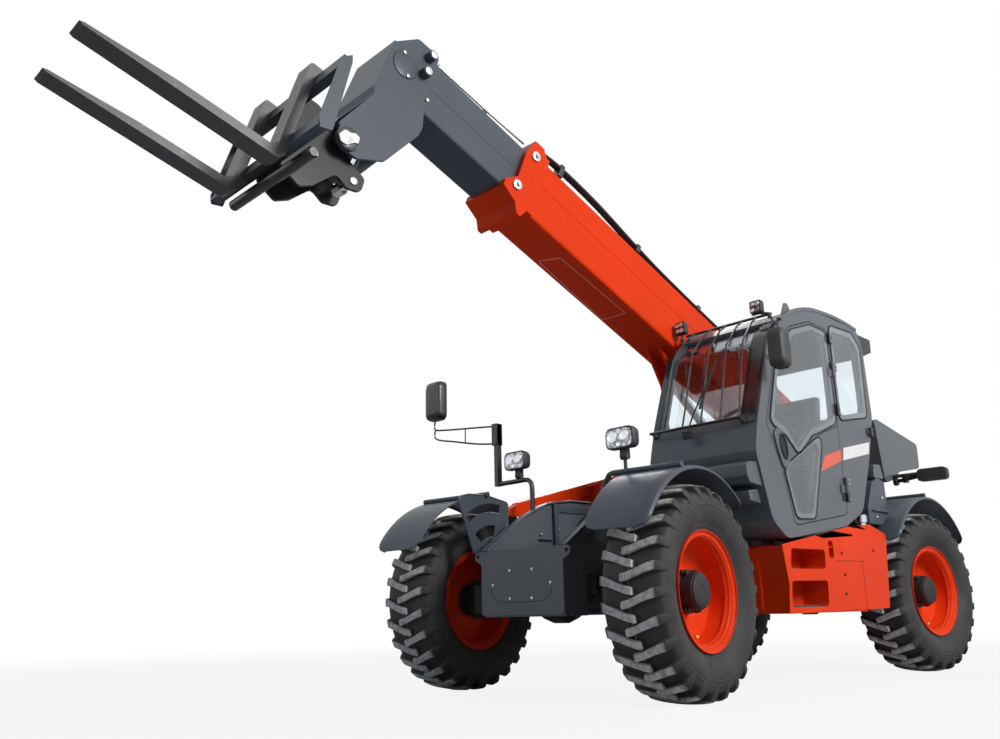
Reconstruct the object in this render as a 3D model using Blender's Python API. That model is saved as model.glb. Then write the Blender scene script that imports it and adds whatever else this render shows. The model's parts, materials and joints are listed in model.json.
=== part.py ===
"""Telescopic handler with four-wheel steering, built from separate solids that meet at real joints.

Metres. +X is forward, +Y is the machine's left, +Z is up, and the tyres stand on z = 0.
An outline is a table of shares: each row is a point as a share of the length and of the height of
the piece, counted from the piece's rear lower corner.
"""
import bpy
import bmesh
from math import atan2, cos, hypot, pi, radians, sin, sqrt, tan
from mathutils import Matrix, Vector

# Clearances
SEAT_GAP = 0.0003
PIN_GAP = 0.0006
THRUST_GAP = 0.0006
SLIDE_GAP = 0.003
RUNNING_GAP = 0.006
OVERRUN = 0.020

# Wheels, in each wheel's own frame: y from the wheel's centre plane outwards
WHEELBASE = 3.090
FRONT_AXLE_X = 0.370
REAR_AXLE_X = FRONT_AXLE_X - WHEELBASE
WHEEL_Y = 0.935
WHEEL_SIDES = 18
TYRE_RADIUS = 0.600
TYRE_WIDTH = 0.400
LUGS_PER_SIDE = 18
LUG_HEIGHT = 0.036
LUG_BAR = 0.054
LUG_FLANK = 0.009
CROWN_DROP = 0.022
CENTRE_RIB_HALF = 0.012
SHOULDER_INSET = 0.016
FOOT_DROP = 0.096
FOOT_STEP = 0.010
SHOULDER_SWEEP_SHARE = 0.80
FOOT_SWEEP_SHARE = 1.00
BULGE_RADIUS = 0.440
BEAD_RADIUS = 0.345
BEAD_SEAT_RADIUS = 0.3048
BEAD_HALF_WIDTH = 0.150
FLANGE_RADIUS = 0.335
RIM_HALF_WIDTH = 0.165
RIM_WALL = 0.012
DISC_Y = -0.040
DISC_WALL = 0.014
DISH_RADIUS = 0.170
HUB_RADIUS = 0.105
HUB_BASE_RADIUS = 0.140
HUB_BASE_Y = 0.010
HUB_FACE_Y = 0.125
HUB_REAR_Y = -0.075
HUB_BORE_RADIUS = 0.045
HUB_BORE_DEPTH = 0.060

# Axles and knuckles
KINGPIN_Y = 0.775
FRONT_STEER_AT_REST = radians(6.5)
REAR_STEER_AT_REST = radians(-5)
KINGPIN_RADIUS = 0.028
KNUCKLE_RADIUS = 0.082
KNUCKLE_HALF_HEIGHT = 0.094
STUB_FLANGE_RADIUS = 0.080
STEER_ARM_LENGTH = 0.190
STEER_ARM_WIDTH = 0.050
STEER_ARM_WALL = 0.030
YOKE_ARM_WALL = 0.034
YOKE_HALF_WIDTH = 0.062
YOKE_ROOT_Y = 0.615
YOKE_ROOT_WALL = 0.040
AXLE_TUBE_RADIUS = 0.080
DIFF_RADIUS = 0.165
DIFF_HALF_WIDTH = 0.130
DIFF_NOSE = 0.300
AXLE_PAD_INNER_Y = 0.300
AXLE_PAD_OUTER_Y = 0.400
AXLE_PAD_HALF_LENGTH = 0.110
AXLE_PAD_TOP_Z = 0.720

# Chassis
FRAME_HALF_WIDTH = 0.360
FRAME_PLATE = 0.020
FRAME_REAR_X = -3.420
FRAME_LENGTH = 4.123
FRAME_BOTTOM_Z = 0.480
FRAME_HEIGHT = 1.620
FRAME_CORNER = 0.060
FRAME_OUTLINE_SHARES = (
    (1.000, 0.000), (1.000, 0.251), (0.914, 0.400), (0.860, 0.462), (0.804, 0.483), (0.725, 0.476),
    (0.690, 0.259), (0.330, 0.259), (0.215, 0.784), (0.184, 0.951), (0.105, 0.951), (0.000, 0.630),
    (0.000, 0.060), (0.041, 0.000))
AXLE_NOTCH_HALF_LENGTH = 0.150
CROSS_WALL = 0.016
BELLY_FRONT_X = 0.080
BELLY_REAR_X = -2.420
BULKHEAD_TOP_Z = 0.860
TOWER_FRONT_WEB_X = -2.250
TOWER_FRONT_WEB_TOP_Z = 0.800
TOWER_REAR_WEB_BOTTOM_Z = 0.600
TOWER_REAR_WEB_TOP_Z = 1.420
PIVOT_BOSS_RADIUS = 0.090
FRONT_PLATE_WALL = 0.020
FRONT_PLATE_HALF_WIDTH = 0.418
FRONT_PLATE_BOTTOM_Z = 0.490
FRONT_PLATE_HEIGHT = 0.397
FRONT_PLATE_CORNER = 0.020
FRONT_PLATE_SHARES = (
    (0.070, 0.000), (0.930, 0.000), (0.930, 0.800), (1.000, 0.870), (1.000, 0.955), (0.965, 1.000),
    (0.035, 1.000), (0.000, 0.955), (0.000, 0.870), (0.070, 0.800))
EAR_HOLE_RADIUS = 0.014
EAR_HOLE_Y = 0.392
EAR_HOLE_Z = 0.858
CAB_MOUNT_X = (-1.760, -0.700)
CAB_MOUNT_LENGTH = 0.120
CAB_MOUNT_WIDTH = 0.110
CAB_MOUNT_TOP_Z = 1.300
CAB_MOUNT_BOTTOM_Z = 0.800
LIFT_CHEEK_SHARES = (-2.000, 2.000)
COUNTERWEIGHT_HALF_WIDTH = 0.560
COUNTERWEIGHT_REAR_X = -3.690
COUNTERWEIGHT_BOTTOM_Z = 0.560
COUNTERWEIGHT_HEIGHT = 0.740
COUNTERWEIGHT_CORNER = 0.070
COUNTERWEIGHT_SHARES = ((1.000, 0.000), (1.000, 1.000), (0.250, 1.000), (0.000, 0.780), (0.000, 0.180), (0.300, 0.000))

# Boom, in its own frame: s forward from the pivot along the boom, n square to it, upwards
BOOM_ANGLE = radians(22.6)
BOOM_PIVOT_X = -2.830
BOOM_PIVOT_Z = 1.850
BOOM_PIN_RADIUS = 0.045
BOOM_PIN_HALF = 0.350
BOOM_WALL = 0.010
OUTER_WIDTH = 0.327
OUTER_HEIGHT = 0.484
OUTER_REAR_S = -0.330
OUTER_FRONT_S = 3.800
OUTER_CORNER = 0.022
INNER_WIDTH = 0.295
INNER_HEIGHT = 0.401
INNER_CENTRE_N = 0.0125
INNER_REAR_S = 0.420
INNER_FRONT_S = 4.800
INNER_CORNER = 0.018
COLLAR_REAR_S = 3.743
COLLAR_LENGTH = 0.290
COLLAR_HALF_WIDTH = 0.192
COLLAR_BOTTOM_N = -0.330
COLLAR_HEIGHT = 0.630
COLLAR_SHARES = (
    (0.000, 0.120), (0.180, 0.120), (0.300, 0.000), (0.420, 0.000), (0.560, 0.110), (1.000, 0.190), (1.000, 0.270),
    (0.700, 0.420), (0.700, 0.760), (0.560, 1.000), (0.260, 1.000), (0.120, 0.920), (0.000, 0.920))
DOUBLER_REAR_S = -0.200
DOUBLER_LENGTH = 0.940
DOUBLER_WALL = 0.012
DOUBLER_HEIGHT = 0.420
DOUBLER_SHARES = ((0.000, 0.000), (0.820, 0.000), (1.000, 0.300), (1.000, 0.700), (0.820, 1.000), (0.000, 1.000))
LIFT_LUG_S = 1.830
LIFT_LUG_N = -0.400
LIFT_LUG_INNER_Y = 0.050
LIFT_LUG_WALL = 0.020
LIFT_LUG_RADIUS = 0.075
LIFT_LUG_HALF_LENGTH = 0.330
LIFT_LUG_ARC_START = radians(200)
LIFT_LUG_ARC_END = radians(340)

# Boom head, in the boom's frame
HEAD_HALF_WIDTH = 0.200
HEAD_PLATE = 0.020
HEAD_REAR_S = 4.700
HEAD_LENGTH = 0.485
HEAD_BOTTOM_N = -0.862
HEAD_HEIGHT = 1.084
HEAD_CORNER = 0.030
HEAD_SHARES = (
    (0.820, 0.848), (0.567, 0.990), (0.206, 1.000), (0.130, 0.625), (0.029, 0.487), (0.041, 0.418), (0.300, 0.120),
    (0.630, 0.010), (0.880, 0.000), (1.000, 0.130), (0.777, 0.437), (0.827, 0.488), (0.842, 0.850))
HEAD_HOLLOW_SHARES = (
    (0.780, 0.830), (0.555, 0.960), (0.250, 0.965), (0.180, 0.610), (0.090, 0.400), (-0.100, 0.350), (-0.100, -0.100),
    (1.100, -0.100), (1.100, 0.330), (0.735, 0.440), (0.780, 0.500))
CARRIAGE_PIVOT_S = 5.105
CARRIAGE_PIVOT_N = -0.790
CARRIAGE_PIN_RADIUS = 0.036
CARRIAGE_SPACER_RADIUS = 0.056
PIVOT_RING_RADIUS = 0.075
PIVOT_RING_WALL = 0.022
HEAD_PIN_RADIUS = 0.034
HEAD_PIN_LENGTH = 0.050
HEAD_PIN_TOP_S = 4.860
HEAD_PIN_TOP_N = 0.150
HEAD_PIN_SIDE_S = 4.850
HEAD_PIN_SIDE_N = 0.010

# Carriage and forks, in the carriage's frame: a forward along the forks, b square to them
FORK_ANGLE = radians(17.5)
CARRIAGE_HALF_WIDTH = 0.580
CARRIAGE_BAR_REAR_A = 0.275
CARRIAGE_BAR_WALL = 0.055
CARRIAGE_BAR_HEIGHT = 0.075
CARRIAGE_TOP_BAR_B = 0.063
CARRIAGE_BOTTOM_BAR_B = -0.340
CARRIAGE_CHEEK_WALL = 0.014
CARRIAGE_CHEEK_HEIGHT = 0.513
CARRIAGE_CHEEK_BOTTOM_B = -0.352
CARRIAGE_CHEEK_DEPTH = 0.080
CARRIAGE_CHEEK_WIDTH = 0.088
CARRIAGE_CHEEK_SHARES = ((0.000, 0.050), (0.750, 0.000), (1.000, 0.090), (1.000, 0.900), (0.450, 1.000), (0.300, 0.920), (0.000, 0.100))
HITCH_INNER_Y = 0.110
HITCH_WALL = 0.024
HITCH_REAR_A = -0.215
HITCH_BOTTOM_B = -0.400
HITCH_HEIGHT = 0.610
HITCH_LENGTH = 0.4905
HITCH_CORNER = 0.030
HITCH_SHARES = (
    (0.180, 0.280), (0.360, 0.340), (0.560, 0.100), (0.720, 0.000), (1.000, 0.080), (1.000, 0.875), (0.840, 0.875),
    (0.560, 0.790), (0.330, 0.770), (0.280, 0.560), (0.000, 0.480), (0.000, 0.330))
TILT_LUG_A = -0.150
TILT_LUG_B = -0.165
FORK_HALF_WIDTH = 0.064
FORK_CENTRE_Y = 0.245
FORK_REAR_A = 0.3303
FORK_BOTTOM_B = -0.451
FORK_HEIGHT = 0.651
FORK_LENGTH = 1.080
FORK_SHARES = ((0.000, 0.050), (0.030, 0.000), (0.980, 0.000), (1.000, 0.012), (0.980, 0.024), (0.550, 0.070), (0.085, 0.078),
               (0.0485, 0.130), (0.0485, 0.985), (0.035, 1.000), (-0.060, 1.000), (-0.070, 0.985), (-0.070, 0.863),
               (-0.0515, 0.863), (-0.0515, 0.9053), (0.000, 0.9053))

# Cylinders: each barrel and rod in its own frame, u from the base eye along the cylinder
LIFT_BASE_X = -2.830
LIFT_BASE_Z = 0.870
LIFT_BARREL_RADIUS = 0.068
LIFT_BARREL_LENGTH = 1.480
LIFT_ROD_RADIUS = 0.036
LIFT_ROD_LENGTH = 1.620
LIFT_EYE_RADIUS = 0.056
LIFT_EYE_HALF_WIDTH = 0.042
LIFT_PIN_RADIUS = 0.026
LIFT_NECK = 0.105
LIFT_CHEEK_WALL = 0.020
TILT_BASE_S = 4.900
TILT_BASE_N = -0.020
TILT_BARREL_RADIUS = 0.045
TILT_BARREL_LENGTH = 0.520
TILT_ROD_RADIUS = 0.024
TILT_ROD_LENGTH = 0.495
TILT_EYE_RADIUS = 0.040
TILT_EYE_HALF_WIDTH = 0.035
TILT_PIN_RADIUS = 0.018
TILT_NECK = 0.050
TILT_COLLAR_RADIUS = 0.032
TILT_COLLAR_LENGTH = 0.030
CYLINDER_NECK_SHARE = 0.900
CYLINDER_FLOOR = 0.030
CYLINDER_SIDES = 10
PIN_SIDES = 8

# Service pipe along the top of the boom
PIPE_SIDES = 8
PIPE_RADIUS = 0.017
PIPE_BORE = 0.0102
PIPE_TUBE_RADIUS = 0.0095
PIPE_RISE = 0.022
PIPE_REAR_S = 0.600
PIPE_FRONT_S = 3.720
PIPE_TUBE_REAR_S = 0.680
PIPE_TUBE_FRONT_S = 4.890
PIPE_CLAMP_HALF = 0.030
PIPE_CLAMP_SHARES = (0.020, 0.340, 0.670, 0.980)
PIPE_REST_S = 4.840
PIPE_REST_BOTTOM_N = 0.190
PIPE_REST_LENGTH = 0.040
PIPE_REST_HALF = 0.020

# Cab
CAB_REAR_X = -2.075
CAB_LENGTH = 1.713
CAB_BOTTOM_Z = 0.924
CAB_HEIGHT = 1.684
CAB_RIGHT_Y = 0.205
CAB_LEFT_Y = 1.050
CAB_WALL = 0.045
CAB_CORNER = 0.130
GLASS_WALL = 0.006
GLASS_DEPTH = 0.016
CAB_SHARES = (
    (0.830, 0.000), (0.925, 0.066), (1.000, 0.325), (0.971, 0.433), (0.834, 0.803), (0.686, 0.923), (0.470, 1.000),
    (0.033, 0.988), (0.010, 0.864), (0.000, 0.578), (0.074, 0.387), (0.198, 0.139), (0.355, 0.070))
DOOR_SHARES = (
    (0.769, 0.051), (0.825, 0.274), (0.909, 0.441), (0.842, 0.623), (0.793, 0.790), (0.656, 0.884), (0.493, 0.938),
    (0.336, 0.930), (0.336, 0.117))
DOOR_CORNER = 0.050
DOOR_UPPER_PANE_SHARES = (
    (0.636, 0.850), (0.470, 0.905), (0.364, 0.895), (0.364, 0.530), (0.520, 0.465), (0.570, 0.452), (0.690, 0.360),
    (0.765, 0.435), (0.850, 0.462), (0.790, 0.660))
DOOR_LOWER_PANE_SHARES = ((0.496, 0.435), (0.626, 0.105), (0.738, 0.100), (0.792, 0.276))
QUARTER_PANE_SHARES = ((0.300, 0.930), (0.128, 0.935), (0.067, 0.885), (0.078, 0.590), (0.300, 0.545))
RIGHT_PANE_SHARES = ((0.640, 0.880), (0.110, 0.925), (0.075, 0.860), (0.070, 0.590), (0.300, 0.520), (0.900, 0.480), (0.790, 0.790))
PANE_CORNER = 0.045
DOOR_HINGE_Z = (1.330, 2.180)
DOOR_HINGE_RADIUS = 0.014
DOOR_HINGE_LENGTH = 0.055
DOOR_HINGE_OFFSET = 0.016
DOOR_LEAF_WALL = 0.010
DOOR_LEAF_LENGTH = 0.070
WINDSCREEN_SHARES = ((1.100, 0.462), (1.100, 1.100), (0.560, 1.100), (0.560, 0.900), (0.740, 0.700), (0.860, 0.462))
WINDSCREEN_RIGHT_Y = 0.250
WINDSCREEN_LEFT_Y = 0.930
REAR_PANE_LOW_SHARE = 0.600
REAR_PANE_HIGH_SHARE = 0.860
REAR_PANE_RIGHT_Y = 0.280
REAR_PANE_LEFT_Y = 0.970
SEAT_X = -1.450
SEAT_Y = 0.630
SEAT_WIDTH = 0.480
SEAT_DEPTH = 0.480
SEAT_TOP_Z = 1.500
SEAT_CUSHION = 0.120
SEAT_BACK_HEIGHT = 0.560
SEAT_BACK_WALL = 0.110
CONSOLE_X = -0.760
CONSOLE_HALF_WIDTH = 0.090
CONSOLE_DEPTH = 0.140
CONSOLE_TOP_Z = 1.620
COLUMN_RADIUS = 0.030
STEERING_RADIUS = 0.180
STEERING_TUBE = 0.014
STEERING_RISE = 0.200
STEERING_TILT = radians(35)
STEERING_SEGMENTS = 12
GUARD_SIDES = 5
GUARD_BAR_RADIUS = 0.007
GUARD_RAIL_RADIUS = 0.011
GUARD_FOOT_LENGTH = 0.120
GUARD_RIGHT_Y = 0.225
GUARD_LEFT_Y = 0.955
GUARD_BOTTOM_Y_SHARES = (0.148, 0.350, 0.526, 0.710, 0.886)
GUARD_TOP_Y_SHARES = (0.118, 0.293, 0.448, 0.608, 0.745)
GUARD_PATH_SHARES = ((1.000, 0.458), (0.955, 0.560), (0.870, 0.800), (0.760, 0.905), (0.690, 0.945))

# Sides between the wheels
TANK_REAR_X = -2.020
TANK_LENGTH = 1.450
TANK_BOTTOM_Z = 0.455
TANK_HEIGHT = 0.455
TANK_OUTER_Y = 1.050
TANK_BEND_Y = 0.930
TANK_BEND_SHARE = 0.270
TANK_CORNER = 0.025
TANK_SHARES = ((0.000, 0.020), (0.300, 0.000), (0.975, 0.000), (1.000, 0.930), (0.960, 0.960), (0.220, 1.000), (0.000, 1.000))
STEP_DEPTH = 0.190
STEP_CORNER = 0.030
STEP_TABLE_SHARES = (
    # rear, front, bottom, top
    (0.640, 0.945, 0.600, 0.885),
    (0.640, 0.945, 0.090, 0.440),
    (0.560, 0.605, 0.700, 0.920))
FILLER_X = -1.850
FILLER_Y = 0.960
FILLER_RADIUS = 0.030
FILLER_HEIGHT = 0.150
FILLER_CAP_RADIUS = 0.040
FILLER_CAP_HEIGHT = 0.040
POD_REAR_X = -1.980
POD_FRONT_X = -0.370
POD_OUTER_Y = 1.020
POD_WALL = 0.014
POD_BOTTOM_Z = 0.500
POD_REAR_TOP_Z = 1.600
POD_BEAM_HEIGHT = 0.100
POD_BEAM_LENGTH = 0.120
POD_BEAM_X = (-1.860, -0.600)
ENGINE_LENGTH = 0.820
ENGINE_WIDTH = 0.380
ENGINE_HEIGHT = 0.560
ENGINE_REAR_X = -1.450
ENGINE_RIGHT_Y = -0.950
ENGINE_BOTTOM_Z = 0.560
HOOD_INNER_Y = 0.550
HOOD_FRONT_X = 0.190
HOOD_FRONT_Z = 1.259
HOOD_REAR_X = -1.500
HOOD_SLOPE = radians(14.5)
HOOD_DEPTH = 0.100
HOOD_SHOULDER = 0.090
HOOD_OUTER_Y = 1.010
HOOD_SHELL = 0.012
HOOD_HINGE_Y = 0.532
HOOD_HINGE_DROP = 0.024
HOOD_HINGE_RADIUS = 0.012
HOOD_HINGE_LENGTH = 0.060
HOOD_HINGE_SHARES = (0.460, 0.860)
HOOD_NOSE_Y = 0.620
HOOD_NOSE_X = -0.500

# Fenders: an arc over each wheel, carried by a cross tube
FENDER_INNER_Y = 0.720
FENDER_OUTER_Y = 1.130
FENDER_WALL = 0.008
FENDER_RADIUS = 0.718
FENDER_LIP = 0.030
FENDER_STEPS = 12
FRONT_FENDER_X = 0.400
FRONT_FENDER_Z = 0.570
FRONT_FENDER_START = radians(29)
FRONT_FENDER_END = radians(135)
REAR_FENDER_X = REAR_AXLE_X
REAR_FENDER_Z = 0.600
REAR_FENDER_START = radians(31)
REAR_FENDER_END = radians(149)
FENDER_TUBE_RADIUS = 0.019
FENDER_TUBE_X = 0.580
FENDER_TUBE_SEAT_SHARE = 0.600
FENDER_BRACKET_Y = 0.500
FENDER_BRACKET_WALL = 0.012
FENDER_BRACKET_REAR_X = 0.345
FENDER_BRACKET_BOTTOM_Z = 0.880
FENDER_BRACKET_LENGTH = 0.452
FENDER_BRACKET_HEIGHT = 0.397
FENDER_BRACKET_SHARES = (
    (1.000, 0.942), (0.783, 1.000), (0.434, 1.000), (0.007, 0.909), (0.018, 0.554), (0.188, 0.227), (0.343, 0.050), (0.697, 0.013))
FENDER_FOOT_X = 0.500
FENDER_FOOT_Z = 0.965
FENDER_FOOT_RADIUS = 0.034

# Lamps, mirrors and their carriers
POST_X = 0.226
POST_FOOT_Y = 0.3769
POST_Y = 0.720
POST_FOOT_Z = 1.020
POST_ELBOW_Z = 1.405
POST_TOP_Z = 1.850
POST_RADIUS = 0.018
MIRROR_ARM_RADIUS = 0.007
RIGHT_MIRROR_X = 0.480
RIGHT_MIRROR_Y = 1.130
RIGHT_MIRROR_Z = 2.060
CAB_MIRROR_X = -0.545
CAB_MIRROR_Y = 1.190
CAB_MIRROR_Z = 2.140
CAB_MIRROR_FOOT_X = -0.640
MIRROR_WIDTH = 0.180
MIRROR_HEIGHT = 0.300
MIRROR_DEPTH = 0.080
LAMP_WIDTH = 0.210
LAMP_HEIGHT = 0.130
LAMP_DEPTH = 0.100
HEADLAMP_LEFT_Y = 0.755
HEADLAMP_LEFT_Z = 1.480
HEADLAMP_RIGHT_Y = 0.500
HEADLAMP_RIGHT_Z = 1.515
LAMP_CORNER = 0.030
LAMP_STALK_RADIUS = 0.012
WORK_LAMP_X = -0.830
WORK_LAMP_Z = 2.605
WORK_LAMP_Y = (0.265, 0.885)
WORK_LAMP_FOOT_Y = (0.228, 0.975)
WORK_LAMP_SIZE = 0.110
WORK_LAMP_DEPTH = 0.070
REAR_LAMP_X = -3.120
REAR_LAMP_Z = 1.550
REAR_LAMP_INNER_Y = 0.910
REAR_LAMP_LENGTH = 0.245
REAR_LAMP_HEIGHT = 0.105
REAR_LAMP_DEPTH = 0.060
REAR_STALK_X = -3.110
REAR_STALK_Z = 1.567
REAR_STALK_RADIUS = 0.016

# Covers beside the boom's foot
COVER_REAR_X = -3.690
COVER_LENGTH = 0.820
COVER_BOTTOM_Z = 1.500
COVER_HEIGHT = 0.550
COVER_OUTER_Y = 0.700
COVER_INNER_Y = 0.3605
COVER_CORNER = 0.040
COVER_SHARES = ((0.900, 0.000), (1.000, 0.980), (0.930, 1.000), (0.000, 0.745), (0.012, 0.345), (0.540, 0.218), (0.640, 0.100))

SMOOTH_ANGLE = radians(32)
TYRE_SMOOTH_ANGLE = radians(40)
FLAT_CORNER = radians(86)
CORNER_ROOM_SHARE = 0.48
ORIGIN = Vector((0.0, 0.0, 0.0))
LEFT, RIGHT = 1, -1
PLANES = {
    'xz': lambda u, v, depth: (u, depth, v),
    'yz': lambda u, v, depth: (depth, u, v),
    'xy': lambda u, v, depth: (u, v, depth),
}


# Shapes: each function returns one closed bmesh
def loft(rings, ring_closed=False):
    """Join equal rings of points, each to the next, and cap both ends unless the last meets the first."""
    shape = bmesh.new()
    rows = [[shape.verts.new(point) for point in ring] for ring in rings]
    pairs = list(zip(rows, rows[1:]))
    if ring_closed:
        pairs.append((rows[-1], rows[0]))
    for near, far in pairs:
        for i in range(len(near)):
            j = (i + 1) % len(near)
            shape.faces.new((near[i], near[j], far[j], far[i]))
    if not ring_closed:
        shape.faces.new(rows[0][::-1])
        shape.faces.new(rows[-1])
    bmesh.ops.recalc_face_normals(shape, faces=shape.faces)
    return shape


def prism(points, low, high, plane='xz'):
    """Carry a closed outline from one depth to another, square to its plane."""
    place = PLANES[plane]
    return loft([[place(u, v, depth) for u, v in points] for depth in (low, high)])


def block(low, high):
    """A box between two corners."""
    (x0, y0, z0), (x1, y1, z1) = low, high
    return prism(((x0, z0), (x1, z0), (x1, z1), (x0, z1)), y0, y1)


def turned(stations, centre=ORIGIN, axis='y', sides=CYLINDER_SIDES):
    """Turn a run of (distance along the axis, radius) stations and cap its two ends."""
    rings = []
    for along, radius in stations:
        ring = []
        for i in range(sides):
            angle = 2 * pi * (i + 0.5) / sides
            u, v = radius * cos(angle), radius * sin(angle)
            spot = {'x': (along, u, v), 'y': (u, along, v), 'z': (u, v, along)}[axis]
            ring.append(Vector(centre) + Vector(spot))
        rings.append(ring)
    return loft(rings)


def tube(path, radius, sides=8):
    """Carry a circle along a run of points, square to the path's bisector at each bend."""
    points = [Vector(point) for point in path]
    steps = [(b - a).normalized() for a, b in zip(points, points[1:])]
    side = steps[0].orthogonal().normalized()
    rings = []
    for i, point in enumerate(points):
        before, after = steps[max(i - 1, 0)], steps[min(i, len(steps) - 1)]
        heading = (before + after).normalized()
        side = (side - heading * side.dot(heading)).normalized()
        up = heading.cross(side)
        turn = [2 * pi * (k + 0.5) / sides for k in range(sides)]
        rings.append([point + radius * (side * cos(a) + up * sin(a)) for a in turn])
    return loft(rings)


def bore(pin_radius, sides=CYLINDER_SIDES):
    """Radius of a many-sided hole in which a pin of the same number of sides can turn."""
    return (pin_radius + PIN_GAP) / cos(pi / sides)


def arc(centre, radius, start, end, steps):
    """Points along a circle's arc in a plane, both ends included."""
    angles = [start + (end - start) * i / steps for i in range(steps + 1)]
    return [(centre[0] + radius * cos(a), centre[1] + radius * sin(a)) for a in angles]


def spread(shares, u, v, length, height):
    """Turn an outline of shares into lengths, from the lower rear corner (u, v)."""
    return [(u + share_u * length, v + share_v * height) for share_u, share_v in shares]


def rounded(points, radius, steps=2):
    """Replace each corner of a closed outline by an arc, limited by the sides beside it."""
    outline = []
    count = len(points)
    for i in range(count):
        corner = Vector(points[i])
        back = Vector(points[i - 1]) - corner
        ahead = Vector(points[(i + 1) % count]) - corner
        room = CORNER_ROOM_SHARE * min(back.length, ahead.length)
        back.normalize()
        ahead.normalize()
        half = back.angle(ahead) / 2
        if half > FLAT_CORNER:
            outline.append(tuple(corner))
            continue
        cut = min(radius / tan(half), room)
        reach = cut * tan(half)
        centre = corner + (back + ahead).normalized() * (reach / sin(half))
        first, last = corner + back * cut - centre, corner + ahead * cut - centre
        turn = atan2(first.cross(last), first.dot(last))
        for k in range(steps + 1):
            angle = turn * k / steps
            spoke = Matrix.Rotation(angle, 2) @ first
            outline.append(tuple(centre + spoke))
    return outline


def inset(points, distance):
    """Move every side of a closed outline inwards by one distance."""
    count = len(points)
    area = sum(points[i - 1][0] * points[i][1] - points[i][0] * points[i - 1][1] for i in range(count))
    sense = 1 if area > 0 else -1
    sides = []
    for i in range(count):
        start, end = Vector(points[i]), Vector(points[(i + 1) % count])
        along = (end - start).normalized()
        normal = Vector((-along.y, along.x)) * sense
        sides.append((start + normal * distance, along))
    moved = []
    for i in range(count):
        (a, u), (b, v) = sides[i - 1], sides[i]
        t = (b - a).cross(v) / u.cross(v)
        moved.append(tuple(a + u * t))
    return moved


def placed(shape, matrix):
    """Place a shape by a matrix and keep its faces pointing outwards."""
    bmesh.ops.transform(shape, matrix=matrix, verts=shape.verts)
    bmesh.ops.recalc_face_normals(shape, faces=shape.faces)
    return shape


# Scene
def clear_scene():
    for item in list(bpy.data.objects):
        bpy.data.objects.remove(item, do_unlink=True)


def finish(name, colour, roughness, metallic=0.0, alpha=1.0):
    """A plain surface: colour, roughness and metal from the photograph's look of the part."""
    material = bpy.data.materials.new(name)
    material.use_nodes = True
    shader = material.node_tree.nodes['Principled BSDF']
    shader.inputs['Base Color'].default_value = (*colour, 1.0)
    shader.inputs['Roughness'].default_value = roughness
    shader.inputs['Metallic'].default_value = metallic
    shader.inputs['Alpha'].default_value = alpha
    return material


def guide(name, location, rotation=(0.0, 0.0, 0.0), parent=None):
    """An empty on a joint's axis, which carries the pieces that move there."""
    empty = bpy.data.objects.new(name, None)
    empty.location = location
    empty.rotation_euler = rotation
    empty.hide_render = True
    empty.parent = parent
    bpy.context.collection.objects.link(empty)
    return empty


def shape_object(name, shape):
    mesh = bpy.data.meshes.new(name)
    shape.to_mesh(mesh)
    shape.free()
    item = bpy.data.objects.new(name, mesh)
    bpy.context.collection.objects.link(item)
    return item


def solid(name, surface, parts, cuts=(), keep=(), after=(), parent=None, flat=SMOOTH_ANGLE):
    """Fuse closed shapes into one solid, keep what lies in the given shapes, cut, then fuse the last ones on."""
    item = shape_object(name, parts[0])
    tools = []
    for operation, shapes in (('UNION', parts[1:]), ('INTERSECT', keep), ('DIFFERENCE', cuts), ('UNION', after)):
        for shape in shapes:
            tool = shape_object(f'{name}_{operation.lower()}', shape)
            change = item.modifiers.new(operation, 'BOOLEAN')
            change.operation = operation
            change.object = tool
            change.solver = 'EXACT'
            tools.append(tool)
    if tools:
        bpy.context.view_layer.update()
        graph = bpy.context.evaluated_depsgraph_get()
        fused = bpy.data.meshes.new_from_object(item.evaluated_get(graph))
        item.modifiers.clear()
        item.data = fused
        for tool in tools:
            bpy.data.objects.remove(tool, do_unlink=True)
    item.data.name = name
    item.data.materials.clear()
    item.data.materials.append(surface)
    item.data.shade_smooth()
    item.data.set_sharp_from_angle(angle=flat)
    item.parent = parent
    return item


# Wheels
def lug_ring(y, top, base, turn, phase, side, step_in=0.0):
    """A ring with four points for each lug: low and high at both edges of its bar."""
    pitch = 2 * pi / LUGS_PER_SIDE
    high = LUG_BAR / 2 / TYRE_RADIUS
    low = high + LUG_FLANK / TYRE_RADIUS
    ring = []
    for i in range(LUGS_PER_SIDE):
        middle = (i + phase) * pitch + turn
        for angle, radius, depth in (
                (middle - low, base, y - step_in), (middle - high, top, y),
                (middle + high, top, y), (middle + low, base, y - step_in)):
            ring.append((radius * sin(angle), side * depth, -radius * cos(angle)))
    return ring


def plain_ring(y, radius, side, count=WHEEL_SIDES):
    """A ring of even points."""
    angles = [2 * pi * i / count for i in range(count)]
    return [(radius * sin(a), side * y, -radius * cos(a)) for a in angles]


def tyre_half(shape, side, phase, sense):
    """Rings of one tyre half from the centre to the bead seat, as rows of vertices."""
    pitch = 2 * pi / LUGS_PER_SIDE
    half = TYRE_WIDTH / 2
    edge = TYRE_RADIUS - CROWN_DROP
    foot = TYRE_RADIUS - FOOT_DROP
    rings = (
        lug_ring(CENTRE_RIB_HALF, TYRE_RADIUS, TYRE_RADIUS - LUG_HEIGHT, 0.0, phase, side),
        lug_ring(half - SHOULDER_INSET, edge, edge - LUG_HEIGHT, sense * SHOULDER_SWEEP_SHARE * pitch, phase, side),
        lug_ring(half, foot, foot, sense * FOOT_SWEEP_SHARE * pitch, phase, side, FOOT_STEP),
        plain_ring(half, BULGE_RADIUS, side),
        plain_ring(BEAD_HALF_WIDTH - SEAT_GAP, BEAD_RADIUS, side),
        plain_ring(BEAD_HALF_WIDTH - SEAT_GAP, BEAD_SEAT_RADIUS + SEAT_GAP, side))
    return [[shape.verts.new(point) for point in ring] for ring in rings]


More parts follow.
